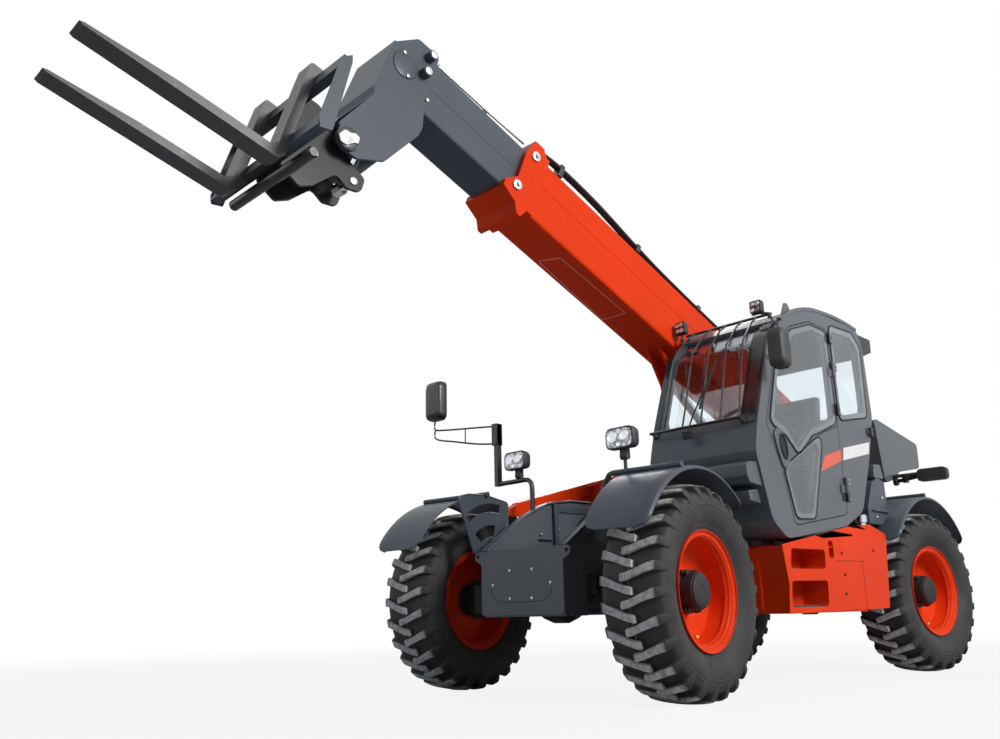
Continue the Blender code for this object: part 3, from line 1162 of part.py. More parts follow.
def cab_door(surfaces, hinge):
    """Door as thick as the wall, with its upper and lower panes, in the hinge's frame."""
    move = Matrix.Translation(-hinge.location)
    outline = rounded(inset(cab_outline(DOOR_SHARES), RUNNING_GAP), DOOR_CORNER)
    inner_y = CAB_LEFT_Y - CAB_WALL
    openings = [
        placed(pane(shares, inner_y - OVERRUN, CAB_LEFT_Y + OVERRUN), move)
        for shares in (DOOR_UPPER_PANE_SHARES, DOOR_LOWER_PANE_SHARES)]
    leaves = [placed(leaf, move) for leaf in door_hinges(RIGHT)]
    solid('cab_door', surfaces['grey'], [placed(prism(outline, inner_y, CAB_LEFT_Y), move)], openings, after=leaves, parent=hinge)
    glass_y = CAB_LEFT_Y - GLASS_DEPTH
    for level, shares in (('upper', DOOR_UPPER_PANE_SHARES), ('lower', DOOR_LOWER_PANE_SHARES)):
        glass = placed(pane(shares, glass_y - GLASS_WALL, glass_y, SEAT_GAP), move)
        solid(f'door_glass_{level}', surfaces['glass'], [glass], parent=hinge)


def cab_room():
    """The room inside the cab, short of its walls by the seating gap."""
    outline = rounded(inset(cab_outline(CAB_SHARES), CAB_WALL), CAB_CORNER - CAB_WALL)
    return prism(inset(outline, SEAT_GAP), CAB_RIGHT_Y + CAB_WALL + SEAT_GAP, CAB_LEFT_Y - CAB_WALL - SEAT_GAP)


def cab_inside(surfaces):
    """Driver's seat and the steering console, both down to the cab's floor."""
    half = SEAT_WIDTH / 2
    under, over = SEAT_TOP_Z - SEAT_CUSHION, SEAT_TOP_Z
    front, rear, lean = SEAT_X + SEAT_DEPTH, SEAT_X - SEAT_BACK_WALL, SEAT_X - 2 * SEAT_BACK_WALL
    cushion = ((rear, under), (front, under), (front, over), (rear, over))
    back = ((rear, under), (SEAT_X, under), (rear, over + SEAT_BACK_HEIGHT), (lean, over + SEAT_BACK_HEIGHT))
    solid('driver_seat', surfaces['black'], [
        block((SEAT_X, SEAT_Y - half / 2, CAB_BOTTOM_Z), (SEAT_X + SEAT_DEPTH / 2, SEAT_Y + half / 2, under + SEAT_CUSHION / 2)),
        prism(rounded(cushion, SEAT_CUSHION / 4, 2), SEAT_Y - half, SEAT_Y + half),
        prism(rounded(back, SEAT_BACK_WALL / 4, 2), SEAT_Y - half, SEAT_Y + half)], keep=[cab_room()])
    hub = Vector((CONSOLE_X - CONSOLE_DEPTH, SEAT_Y, CONSOLE_TOP_Z + STEERING_RISE))
    lean = Matrix.Rotation(STEERING_TILT, 3, 'Y')
    rim = []
    for i in range(STEERING_SEGMENTS):
        turn = 2 * pi * i / STEERING_SEGMENTS
        ring = []
        for out, up in arc((STEERING_RADIUS, 0.0), STEERING_TUBE, 0.0, 2 * pi, STEERING_SEGMENTS // 3)[:-1]:
            ring.append(hub + lean @ Vector((out * cos(turn), out * sin(turn), up)))
        rim.append(ring)
    spoke = Vector((0.0, STEERING_RADIUS, 0.0))
    solid('steering_console', surfaces['black'], [
        block((CONSOLE_X - CONSOLE_DEPTH / 2, SEAT_Y - CONSOLE_HALF_WIDTH, CAB_BOTTOM_Z),
              (CONSOLE_X + CONSOLE_DEPTH / 2, SEAT_Y + CONSOLE_HALF_WIDTH, CONSOLE_TOP_Z)),
        tube(((CONSOLE_X, SEAT_Y, CONSOLE_TOP_Z - COLUMN_RADIUS), hub), COLUMN_RADIUS),
        loft(rim, True),
        tube((hub - spoke, hub + spoke), STEERING_TUBE, 6)], keep=[cab_room()])


def guard(surfaces):
    """Windscreen guard: five bars that follow the glass, between a lower and an upper rail on feet."""
    path = cab_outline(GUARD_PATH_SHARES)
    width = CAB_LEFT_Y - CAB_RIGHT_Y
    count = len(path) - 1
    parts = []
    for end in (0, -1):
        x, z = path[end]
        parts.append(tube(((x, GUARD_RIGHT_Y, z), (x, GUARD_LEFT_Y, z)), GUARD_RAIL_RADIUS, GUARD_SIDES))
        beside = path[1] if end == 0 else path[-2]
        along = Vector((beside[0] - x, beside[1] - z)).normalized() * (1 if end == 0 else -1)
        for y in (GUARD_RIGHT_Y + GUARD_RAIL_RADIUS, GUARD_LEFT_Y - GUARD_RAIL_RADIUS):
            foot = (x - along.y * GUARD_FOOT_LENGTH, y, z + along.x * GUARD_FOOT_LENGTH)
            parts.append(tube(((x, y, z), foot), GUARD_BAR_RADIUS, GUARD_SIDES))
    for low_share, high_share in zip(GUARD_BOTTOM_Y_SHARES, GUARD_TOP_Y_SHARES):
        step_share = (high_share - low_share) / count
        points = [(x, CAB_RIGHT_Y + width * (low_share + step_share * i), z) for i, (x, z) in enumerate(path)]
        parts.append(tube(points, GUARD_BAR_RADIUS, GUARD_SIDES))
    solid('guard_grille', surfaces['black'], parts, [cab_envelope(SEAT_GAP)])


# Sides
def tank(surfaces):
    """Step box and tank side on the left, bent inwards at its rear, with two steps and a hand slot cut in."""
    outline = rounded(spread(TANK_SHARES, TANK_REAR_X, TANK_BOTTOM_Z, TANK_LENGTH, TANK_HEIGHT), TANK_CORNER, 2)
    bend_x = TANK_REAR_X + TANK_BEND_SHARE * TANK_LENGTH
    front_x = TANK_REAR_X + TANK_LENGTH + OVERRUN
    top = TANK_BOTTOM_Z + TANK_HEIGHT
    inner_y = FRAME_HALF_WIDTH + SEAT_GAP
    plan = ((TANK_REAR_X - OVERRUN, inner_y), (front_x, inner_y), (front_x, TANK_OUTER_Y), (bend_x, TANK_OUTER_Y),
            (TANK_REAR_X - OVERRUN, TANK_BEND_Y))
    cuts = []
    for rear_share, front_share, bottom_share, top_share in STEP_TABLE_SHARES:
        corner_shares = (
            (rear_share, bottom_share), (front_share, bottom_share), (front_share, top_share), (rear_share, top_share))
        hole = rounded(spread(corner_shares, TANK_REAR_X, TANK_BOTTOM_Z, TANK_LENGTH, TANK_HEIGHT), STEP_CORNER, 2)
        cuts.append(prism(hole, TANK_OUTER_Y - STEP_DEPTH, TANK_OUTER_Y + OVERRUN))
    filler = turned(
        ((top - OVERRUN, FILLER_RADIUS), (top + FILLER_HEIGHT, FILLER_RADIUS), (top + FILLER_HEIGHT, FILLER_CAP_RADIUS),
         (top + FILLER_HEIGHT + FILLER_CAP_HEIGHT, FILLER_CAP_RADIUS)), (FILLER_X, FILLER_Y, 0.0), 'z', PIN_SIDES)
    solid('step_tank', surfaces['orange'], [prism(outline, inner_y, TANK_OUTER_Y + OVERRUN)], cuts,
          [prism(plan, TANK_BOTTOM_Z - OVERRUN, top + OVERRUN, 'xy')], [filler])


def hood_edge(x):
    """Height of the hood's top at a distance along the machine."""
    return HOOD_FRONT_Z + (HOOD_FRONT_X - x) * tan(HOOD_SLOPE)


def hood_axis(share, shift=0.0):
    """A point of the hood's hinge line, at a share of its length and shifted along it."""
    x = HOOD_FRONT_X + share * (HOOD_REAR_X - HOOD_FRONT_X) - shift * cos(HOOD_SLOPE)
    return Vector((x, -HOOD_HINGE_Y, hood_edge(x) - HOOD_HINGE_DROP))


def engine_bay(surfaces):
    """Open tray on the right with a closed rear part, beams to the frame, and the engine as one block in it."""
    inner, outer = POD_WALL - HOOD_INNER_Y, -POD_OUTER_Y
    drop = HOOD_DEPTH + RUNNING_GAP
    rear_top = hood_edge(HOOD_REAR_X) - drop
    closed_front, open_rear = HOOD_REAR_X - RUNNING_GAP, HOOD_REAR_X + RUNNING_GAP
    outline = ((POD_REAR_X, POD_BOTTOM_Z), (POD_FRONT_X, POD_BOTTOM_Z), (POD_FRONT_X, hood_edge(POD_FRONT_X) - drop),
               (closed_front, rear_top), (closed_front, POD_REAR_TOP_Z), (POD_REAR_X, POD_REAR_TOP_Z))
    floor = POD_BOTTOM_Z + POD_WALL
    hollow = ((open_rear, floor), (POD_FRONT_X - POD_WALL, floor), (POD_FRONT_X - POD_WALL, rear_top + OVERRUN),
              (open_rear, rear_top + OVERRUN))
    beams = [block(
        (x, inner - POD_WALL / 2, POD_BOTTOM_Z), (x + POD_BEAM_LENGTH, -FRAME_HALF_WIDTH - SEAT_GAP, POD_BOTTOM_Z + POD_BEAM_HEIGHT))
        for x in POD_BEAM_X]
    for share in HOOD_HINGE_SHARES:
        near, far = hood_axis(share, THRUST_GAP), hood_axis(share, HOOD_HINGE_LENGTH)
        beams.append(tube((near, far), HOOD_HINGE_RADIUS, PIN_SIDES))
        beams.append(block(
            (far.x, near.y - HOOD_HINGE_RADIUS, hood_edge(near.x) - drop - HOOD_HINGE_LENGTH / 2),
            (near.x - HOOD_HINGE_RADIUS, near.y + HOOD_HINGE_RADIUS / 2, near.z)))
    solid('engine_tray', surfaces['orange'], [prism(outline, outer, inner)],
          [prism(hollow, outer + POD_WALL, inner - POD_WALL)], after=beams)
    solid('engine_block', surfaces['black'], [block(
        (ENGINE_REAR_X, ENGINE_RIGHT_Y, floor + SEAT_GAP),
        (ENGINE_REAR_X + ENGINE_LENGTH, ENGINE_RIGHT_Y + ENGINE_WIDTH, ENGINE_BOTTOM_Z + ENGINE_HEIGHT))])


def hood_section(x, shrink, drop):
    """The hood's cross section at a distance along the machine."""
    top, low = hood_edge(x) - shrink, hood_edge(x) - drop
    inner, outer = -HOOD_INNER_Y - shrink, shrink - HOOD_OUTER_Y
    return [(x, inner, low), (x, outer, low), (x, outer, top - HOOD_SHOULDER / 2), (x, outer + HOOD_SHOULDER, top), (x, inner, top)]


def hood_plan(shrink, reach):
    """The hood's outline from above, cut back at its nose beside the wheel."""
    rear, inner, outer = HOOD_REAR_X - reach, reach - HOOD_INNER_Y, -HOOD_OUTER_Y - reach
    outline = ((rear, inner), (rear, outer), (HOOD_NOSE_X - shrink, outer), (HOOD_FRONT_X - shrink, shrink - HOOD_NOSE_Y),
               (HOOD_FRONT_X - shrink, inner))
    return prism(outline, POD_BOTTOM_Z, CAB_BOTTOM_Z + CAB_HEIGHT, 'xy')


def hood(surfaces, hinge):
    """Engine hood: a sloping shell over the tray, hinged along its inner upper edge."""
    move = Matrix.Translation(-hinge.location)
    core = solid('hood_core', surfaces['orange'], [loft([
        hood_section(HOOD_REAR_X + HOOD_SHELL, HOOD_SHELL, HOOD_DEPTH + OVERRUN),
        hood_section(HOOD_FRONT_X - HOOD_SHELL, HOOD_SHELL, HOOD_DEPTH + OVERRUN)])], keep=[hood_plan(HOOD_SHELL, OVERRUN)])
    room = bmesh.new()
    room.from_mesh(core.data)
    bpy.data.objects.remove(core, do_unlink=True)
    shell = loft([hood_section(HOOD_REAR_X, 0.0, HOOD_DEPTH), hood_section(HOOD_FRONT_X, 0.0, HOOD_DEPTH)])
    leaves = []
    for share in HOOD_HINGE_SHARES:
        near, far = hood_axis(share), hood_axis(share, -HOOD_HINGE_LENGTH)
        leaves.append(placed(tube((near, far), HOOD_HINGE_RADIUS, PIN_SIDES), move))
        leaves.append(placed(block(
            (near.x + HOOD_HINGE_RADIUS, -HOOD_INNER_Y - HOOD_SHELL / 2, near.z - HOOD_HINGE_RADIUS),
            (far.x - HOOD_HINGE_RADIUS, near.y, near.z)), move))
    solid('engine_hood', surfaces['orange'], [placed(shell, move)], [placed(room, move)],
          [placed(hood_plan(0.0, OVERRUN), move)], after=leaves, parent=hinge)


def fender(name, surface, centre, span, side, tube_x, tube_inner_y, carrier=()):
    """Curved mudguard sheet with a rolled lip under a cross tube, and what carries the tube."""
    edge = side * FENDER_OUTER_Y
    top = FENDER_RADIUS + FENDER_WALL
    section = (
        (side * FENDER_INNER_Y, FENDER_RADIUS), (side * FENDER_INNER_Y, top), (edge, top), (edge, FENDER_RADIUS - FENDER_LIP),
        (edge - side * FENDER_WALL, FENDER_RADIUS - FENDER_LIP), (edge - side * FENDER_WALL, FENDER_RADIUS))
    arcs = [arc(centre, radius, *span, FENDER_STEPS) for _, radius in section]
    sheet = loft([[(x, y, z) for (x, z), (y, _) in zip(ring, section)] for ring in zip(*arcs)])
    solid(name, surface, [sheet, cross_tube(centre, side, tube_x, tube_inner_y), *carrier])


def cross_tube(centre, side, x, inner_y, growth=0.0):
    """The tube across the machine that carries a mudguard, grown by a clearance to fit what stands on it."""
    level, end = fender_tube_z(centre, x), side * (FENDER_OUTER_Y - FENDER_TUBE_RADIUS)
    return tube(((x, side * inner_y, level), (x, end, level)), FENDER_TUBE_RADIUS + growth)


def fender_tube_z(centre, tube_x):
    """Height of the cross tube that lies in the top of a mudguard's sheet."""
    return centre[1] + sqrt((FENDER_RADIUS + FENDER_WALL) ** 2 - (tube_x - centre[0]) ** 2) + FENDER_TUBE_SEAT_SHARE * FENDER_TUBE_RADIUS


def front_carrier(side):
    """Plate and foot tube from the frame's side to a front mudguard's cross tube."""
    outline = spread(
        FENDER_BRACKET_SHARES, FENDER_BRACKET_REAR_X, FENDER_BRACKET_BOTTOM_Z, FENDER_BRACKET_LENGTH, FENDER_BRACKET_HEIGHT)
    half = FENDER_BRACKET_WALL / 2
    inner = side * (FRAME_HALF_WIDTH + SEAT_GAP)
    return (
        prism(rounded(outline, FENDER_LIP, 2), side * FENDER_BRACKET_Y - half, side * FENDER_BRACKET_Y + half),
        tube(((FENDER_FOOT_X, inner, FENDER_FOOT_Z), (FENDER_FOOT_X, side * FENDER_BRACKET_Y, FENDER_FOOT_Z)), FENDER_FOOT_RADIUS, PIN_SIDES))


def fenders(surfaces):
    """Four mudguards, the front pair on plates beside the frame's nose and the rear pair on straight tubes."""
    front, rear = (FRONT_FENDER_X, FRONT_FENDER_Z), (REAR_FENDER_X, REAR_FENDER_Z)
    for hand, side in (('left', LEFT), ('right', RIGHT)):
        fender(f'fender_front_{hand}', surfaces['grey'], front, (FRONT_FENDER_START, FRONT_FENDER_END), side,
               FENDER_TUBE_X, FENDER_BRACKET_Y, front_carrier(side))
        fender(f'fender_rear_{hand}', surfaces['grey'], rear, (REAR_FENDER_START, REAR_FENDER_END), side,
               REAR_FENDER_X, FRAME_HALF_WIDTH + SEAT_GAP)


# Lamps and mirrors
def lamp_body(x, y, z, depth, width, height):
    """A rounded housing whose lens looks forward."""
    outline = rounded((
        (y - width / 2, z - height / 2), (y + width / 2, z - height / 2), (y + width / 2, z + height / 2),
        (y - width / 2, z + height / 2)), LAMP_CORNER, 2)
    return prism(outline, x - depth / 2, x + depth / 2, 'yz')


def lamps(surfaces):
    """Headlamps on the left mudguard's tube and on the right post, work lamps on the roof, and rear lamps."""
    centre = (FRONT_FENDER_X, FRONT_FENDER_Z)
    x, y, z = FENDER_TUBE_X, HEADLAMP_LEFT_Y, HEADLAMP_LEFT_Z
    solid('headlamp_left', surfaces['black'], [
        lamp_body(x, y, z, LAMP_DEPTH, LAMP_WIDTH, LAMP_HEIGHT),
        tube(((x, y, fender_tube_z(centre, x)), (x, y, z)), LAMP_STALK_RADIUS)],
        [cross_tube(centre, LEFT, x, FENDER_BRACKET_Y, SEAT_GAP)])
    for hand, y, foot_y in zip(('right', 'left'), WORK_LAMP_Y, WORK_LAMP_FOOT_Y):
        x, z = WORK_LAMP_X, WORK_LAMP_Z
        low = z - WORK_LAMP_SIZE
        solid(f'work_lamp_{hand}', surfaces['black'], [
            lamp_body(x, y, z, WORK_LAMP_DEPTH, WORK_LAMP_SIZE, WORK_LAMP_SIZE),
            tube(((x, foot_y, low - WORK_LAMP_SIZE), (x, foot_y, low), (x, y, z)), LAMP_STALK_RADIUS)],
            [cab_envelope(SEAT_GAP)])
    for hand, side in (('left', LEFT), ('right', RIGHT)):
        inner, outer = side * REAR_LAMP_INNER_Y, side * (REAR_LAMP_INNER_Y + REAR_LAMP_LENGTH)
        solid(f'rear_lamp_{hand}', surfaces['black'], [
            lamp_body(REAR_LAMP_X, (inner + outer) / 2, REAR_LAMP_Z, REAR_LAMP_DEPTH, REAR_LAMP_LENGTH, REAR_LAMP_HEIGHT),
            tube(((REAR_STALK_X, side * (COVER_OUTER_Y + SEAT_GAP), REAR_STALK_Z), (REAR_STALK_X, inner + side * REAR_STALK_RADIUS, REAR_STALK_Z)),
                 REAR_STALK_RADIUS)])


def mirrors(surfaces):
    """Post on the frame's right side with its lamp and mirror, and the mirror beside the cab's front pillar."""
    leg = (POST_X, -POST_FOOT_Y)
    elbow = (POST_X, -POST_Y)
    path = ((*leg, POST_FOOT_Z), (*leg, POST_ELBOW_Z), (*elbow, POST_ELBOW_Z), (*elbow, POST_TOP_Z))
    glass = (RIGHT_MIRROR_X, -RIGHT_MIRROR_Y, RIGHT_MIRROR_Z)
    solid('mirror_post', surfaces['black'], [
        tube(path, POST_RADIUS),
        tube(((*elbow, POST_TOP_Z - POST_RADIUS), glass), MIRROR_ARM_RADIUS),
        lamp_body(*glass, MIRROR_DEPTH, MIRROR_WIDTH, MIRROR_HEIGHT)])
    x, y, z = POST_X, -HEADLAMP_RIGHT_Y, HEADLAMP_RIGHT_Z
    solid('headlamp_right', surfaces['black'], [
        lamp_body(x, y, z, LAMP_DEPTH, LAMP_WIDTH, LAMP_HEIGHT),
        tube(((x, y, POST_ELBOW_Z), (x, y, z)), LAMP_STALK_RADIUS)], [tube(path, POST_RADIUS + SEAT_GAP)])
    x, y, z = CAB_MIRROR_X, CAB_MIRROR_Y, CAB_MIRROR_Z
    solid('cab_mirror', surfaces['black'], [
        lamp_body(x, y, z, MIRROR_DEPTH, MIRROR_WIDTH, MIRROR_HEIGHT),
        tube(((CAB_MIRROR_FOOT_X, CAB_LEFT_Y - CAB_WALL / 2, z), (x, y, z)), MIRROR_ARM_RADIUS)], [cab_envelope(SEAT_GAP)])


def build():
    clear_scene()
    surfaces = {
        'orange': finish('orange_paint', (0.80, 0.095, 0.018), 0.35),
        'grey': finish('grey_paint', (0.075, 0.090, 0.105), 0.45),
        'slate': finish('slate_paint', (0.090, 0.105, 0.125), 0.45),
        'black': finish('black_plastic', (0.020, 0.020, 0.022), 0.60),
        'axle': finish('axle_iron', (0.040, 0.040, 0.042), 0.60),
        'tyre': finish('tyre_rubber', (0.022, 0.022, 0.022), 0.85),
        'chrome': finish('chrome', (0.80, 0.81, 0.83), 0.12, 1.0),
        'glass': finish('window_glass', (0.55, 0.65, 0.66), 0.05, 0.0, 0.35)}
    pivot = guide('boom_pivot', (BOOM_PIVOT_X, 0.0, BOOM_PIVOT_Z), (0.0, -BOOM_ANGLE, 0.0))
    slide = guide('boom_extension', (0.0, 0.0, 0.0), parent=pivot)
    tilt = guide('carriage_pivot', (CARRIAGE_PIVOT_S, 0.0, CARRIAGE_PIVOT_N), (0.0, BOOM_ANGLE - FORK_ANGLE, 0.0), slide)
    door_hinge = guide(
        'door_hinge', (CAB_REAR_X + DOOR_SHARES[-1][0] * CAB_LENGTH, CAB_LEFT_Y + DOOR_HINGE_OFFSET, CAB_BOTTOM_Z))
    hood_hinge = guide('hood_hinge', hood_axis(0.0))
    for x, name in ((FRONT_AXLE_X, 'axle_front'), (REAR_AXLE_X, 'axle_rear')):
        axle(name, x, surfaces['axle'])
    corners(surfaces)
    chassis(surfaces)
    front_plate(surfaces)
    counterweight(surfaces)
    rear_covers(surfaces)
    boom_outer(surfaces, pivot)
    boom_inner(surfaces, slide)
    boom_head(surfaces, slide)
    service_pipe(surfaces, pivot, slide)
    cylinders(surfaces)
    carriage(surfaces, tilt)
    forks(surfaces, tilt)
    cab_shell(surfaces)
    cab_glass(surfaces)
    cab_door(surfaces, door_hinge)
    cab_inside(surfaces)
    guard(surfaces)
    tank(surfaces)
    engine_bay(surfaces)
    hood(surfaces, hood_hinge)
    fenders(surfaces)
    lamps(surfaces)
    mirrors(surfaces)


build()
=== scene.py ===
"""Looks of a telescopic handler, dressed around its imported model.

Metres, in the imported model's frame: +X forward, +Y the machine's left, +Z up, tyres on z = 0.
"""
import json

import bmesh
import bpy
import numpy as np
from mathutils import Matrix, Vector
from mathutils.geometry import tessellate_polygon

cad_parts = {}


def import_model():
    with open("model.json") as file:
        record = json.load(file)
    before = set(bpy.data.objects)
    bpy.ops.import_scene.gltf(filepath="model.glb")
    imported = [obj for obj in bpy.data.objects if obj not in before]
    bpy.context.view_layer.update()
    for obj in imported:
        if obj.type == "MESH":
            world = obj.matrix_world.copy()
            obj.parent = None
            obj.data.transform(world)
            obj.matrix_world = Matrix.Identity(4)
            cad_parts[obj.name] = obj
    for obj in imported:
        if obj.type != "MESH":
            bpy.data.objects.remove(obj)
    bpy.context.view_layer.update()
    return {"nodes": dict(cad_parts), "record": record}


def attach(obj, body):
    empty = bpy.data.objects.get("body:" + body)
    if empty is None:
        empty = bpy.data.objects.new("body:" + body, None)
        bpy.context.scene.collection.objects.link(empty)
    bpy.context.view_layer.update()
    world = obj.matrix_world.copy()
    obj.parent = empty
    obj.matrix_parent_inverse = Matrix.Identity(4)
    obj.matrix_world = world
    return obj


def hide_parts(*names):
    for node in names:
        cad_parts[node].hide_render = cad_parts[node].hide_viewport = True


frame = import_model()

# Places, repeated from the model
BOOM_TILT = np.radians(22.6)
BOOM_PIVOT = np.array([-2.83, 0.0, 1.85])
FORK_TILT = np.radians(17.5)
CARRIAGE_PIVOT = (5.105, 0.0, -0.79)
CAB_REAR, CAB_LONG, CAB_LOW, CAB_TALL = -2.075, 1.713, 0.924, 1.684
WHEELS = (
    # name, kingpin x, side, steering at rest in degrees
    ("front_left", 0.37, 1, 6.5),
    ("front_right", 0.37, -1, 6.5),
    ("rear_left", -2.72, 1, -5.0),
    ("rear_right", -2.72, -1, -5.0))
KINGPIN_Y, WHEEL_OFFSET, AXLE_Z = 0.775, 0.16, 0.6
AHEAD, ACROSS, UP = (1.0, 0.0, 0.0), (0.0, 1.0, 0.0), (0.0, 0.0, 1.0)
CAB_FACE, TANK_FACE, NOSE_FACE, NOSE_WALL = 1.0502, 1.0515, 0.7232, -0.3395
HEAD_PLATE, HEAD_PIN = 0.2003, (4.982, -0.036)


# Shader maths
class Value:
    """A socket that can be used in Python sums."""

    def __init__(self, surface, socket):
        self.surface, self.socket = surface, socket

    def sum(self, operation, *items):
        return self.surface.node("ShaderNodeMath", {"operation": operation}, *items)

    def __add__(self, other):
        return self.sum("ADD", self, other)

    def __radd__(self, other):
        return self.sum("ADD", other, self)

    def __sub__(self, other):
        return self.sum("SUBTRACT", self, other)

    def __rsub__(self, other):
        return self.sum("SUBTRACT", other, self)

    def __mul__(self, other):
        return self.sum("MULTIPLY", self, other)

    def __rmul__(self, other):
        return self.sum("MULTIPLY", other, self)

    def __truediv__(self, other):
        return self.sum("DIVIDE", self, other)

    def __pow__(self, other):
        return self.sum("POWER", self, other)

    def wave(self):
        return self.sum("SINE", self)

    def step(self, low, high):
        """0 below low, 1 above high, smooth between."""
        settings = {"interpolation_type": "SMOOTHSTEP"}
        return self.surface.node("ShaderNodeMapRange", settings, self, low, high, 0.0, 1.0)


class Surface:
    """One node tree, a new material's unless it has another owner, built from calls of node()."""

    def __init__(self, name, owner=None):
        self.material = owner or bpy.data.materials.new(name)
        self.material.use_nodes = True
        self.tree = self.material.node_tree
        self.tree.nodes.clear()

    def node(self, kind, settings=None, *items, out=0, **named):
        """Add a node, set its settings, then give its sockets values, colours or links."""
        made = self.tree.nodes.new(kind)
        for key, value in (settings or {}).items():
            setattr(made, key, value)
        given = list(enumerate(items)) + [(key.replace("_", " "), item) for key, item in named.items()]
        for key, item in given:
            socket = made.inputs[key]
            if isinstance(item, Value):
                self.tree.links.new(item.socket, socket)
            elif item is not None:
                opaque = socket.type == "RGBA" and len(item) == 3
                socket.default_value = (*item, 1.0) if opaque else item
        return Value(self, made.outputs[out] if len(made.outputs) else None)

    def place(self):
        """Object coordinates, which are the model's own metres."""
        return self.node("ShaderNodeTexCoord", out=3)

    def axes(self):
        """The three Object coordinates as values."""
        parts = self.node("ShaderNodeSeparateXYZ", None, self.place())
        return [Value(self, parts.socket.node.outputs[i]) for i in range(3)]

    def noise(self, scale, detail=2.0, roughness=0.5):
        return self.node(
            "ShaderNodeTexNoise", None, Vector=self.place(), Scale=scale, Detail=detail, Roughness=roughness)

    def mix(self, share, first, second):
        """A colour between two colours; five of the node's sockets are for other kinds of value."""
        return self.node("ShaderNodeMix", {"data_type": "RGBA"}, share, *[None] * 5, first, second, out=2)

    def bump(self, height, strength, distance):
        return self.node("ShaderNodeBump", None, Height=height, Strength=strength, Distance=distance)

    def finish(self, **sockets):
        """Principled surface with these sockets, into the output."""
        return self.out(self.node("ShaderNodeBsdfPrincipled", None, **sockets))

    def out(self, shader):
        self.node("ShaderNodeOutputMaterial", None, shader)
        return self.material


# Finishes
DUST = (0.36, 0.3, 0.25)


def shade(colour, share):
    """The colour, lighter or darker by a share."""
    return tuple(min(c * share, 1.0) for c in colour)


def paint(name, colour, rough, dust, coat=0.35, shine=0.5, inside=0.0):
    """Sprayed paint: faint cloudiness, fine orange peel, and road dust that thins with height.

    Where inside is given, faces nearer the middle of the machine than that are nearly black.
    """
    s = Surface(name)
    _, across, height = s.axes()
    cloud = s.noise(2.2, 3.0)
    low = (1.0 - height.step(0.3, 1.5)) * s.noise(60.0).step(0.35, 0.75) * cloud.step(0.35, 0.75) * dust
    tint = s.mix(low, s.mix(cloud.step(0.3, 0.7), shade(colour, 0.93), shade(colour, 1.05)), DUST)
    if inside:
        tint = s.mix(((across ** 2.0) ** 0.5).step(inside, inside + 0.004), (0.012, 0.013, 0.015), tint)
    peel = s.noise(420.0, 1.0)
    return s.finish(
        Base_Color=tint, Roughness=rough + 0.1 * cloud + low * 0.5, Specular_IOR_Level=shine,
        Coat_Weight=coat, Coat_Roughness=0.12, Normal=s.bump(peel, 0.05, 0.0006))


def plastic(name, colour, rough=0.5):
    """Moulded plastic with a fine leathery grain."""
    s = Surface(name)
    grain = s.node("ShaderNodeTexVoronoi", None, Vector=s.place(), Scale=900.0)
    cloud = s.noise(9.0, 2.0)
    tint = s.mix(cloud.step(0.3, 0.7), shade(colour, 0.85), shade(colour, 1.2))
    return s.finish(Base_Color=tint, Roughness=rough + 0.12 * cloud, Normal=s.bump(grain, 0.12, 0.0005))


def casting(name, colour):
    """Painted casting: rough skin, oily darker patches."""
    s = Surface(name)
    skin = s.noise(160.0, 4.0, 0.65)
    patch = s.noise(7.0, 3.0)
    tint = s.mix(patch.step(0.35, 0.7), shade(colour, 0.6), shade(colour, 1.5))
    return s.finish(Base_Color=tint, Roughness=0.48 + 0.25 * patch, Normal=s.bump(skin, 0.35, 0.0012))


# Radii and distances from the middle over which a tyre's finishes begin or end
LUG_TOPS, SHOULDER, MOULD_LINE, TREAD_FLOOR = (0.575, 0.59), (0.15, 0.185), (0.0008, 0.0022), (0.55, 0.56)
RINGS_BEGIN, RINGS_END = (0.36, 0.37), (0.46, 0.47)


def rubber(name, centre, turn):
    """Tyre rubber: dark in the grooves, light grey on the lug tops that is partly scuffed wear and partly
    painted light, a mould line, dusty in patches.
    """
    s = Surface(name)
    x, y, z = s.axes()
    c, k = float(np.cos(turn)), float(np.sin(turn))
    along = (x - centre[0]) * c + (y - centre[1]) * k
    across = (y - centre[1]) * c - (x - centre[0]) * k
    radius = (along ** 2.0 + (z - centre[2]) ** 2.0) ** 0.5
    aside = (across ** 2.0) ** 0.5
    scuff = s.noise(30.0, 4.0, 0.65)
    grit = s.noise(260.0, 3.0, 0.6)
    cloud = s.noise(5.0, 3.0)
    # Lug tops: light grey that is partly scuffing and partly painted light, standing for the light on the lugs'
    # faces.
    tread = radius.step(*LUG_TOPS) * (1.0 - aside.step(*SHOULDER))
    worn_and_lit_lugs = tread * (scuff.step(0.2, 0.6) * 0.75 + 0.25)
    mould = (1.0 - aside.step(*MOULD_LINE)) * radius.step(*TREAD_FLOOR)
    rings = (radius * 900.0).wave() * (1.0 - radius.step(*RINGS_END)) * radius.step(*RINGS_BEGIN)
    dirt = cloud.step(0.4, 0.75) * 0.5 + scuff.step(0.45, 0.75) * 0.25
    base = s.mix(dirt, (0.02, 0.02, 0.021), (0.066, 0.064, 0.061))
    tint = s.mix(worn_and_lit_lugs * 0.95, base, (0.6, 0.594, 0.586))
    tint = s.mix(mould * scuff.step(0.2, 0.5), tint, (0.36, 0.35, 0.34))
    return s.finish(
        Base_Color=tint, Roughness=0.58 + 0.25 * scuff, Normal=s.bump(grit + rings * 0.1, 0.55, 0.0014))


def metal(name, colour, rough=0.16):
    """Bright metal with fine turned scratches."""
    s = Surface(name)
    lines = s.noise(380.0, 2.0)
    smear = s.noise(18.0, 3.0)
    return s.finish(
        Base_Color=colour, Metallic=1.0, Roughness=rough + 0.14 * smear.step(0.4, 0.8),
        Normal=s.bump(lines, 0.05, 0.0003))


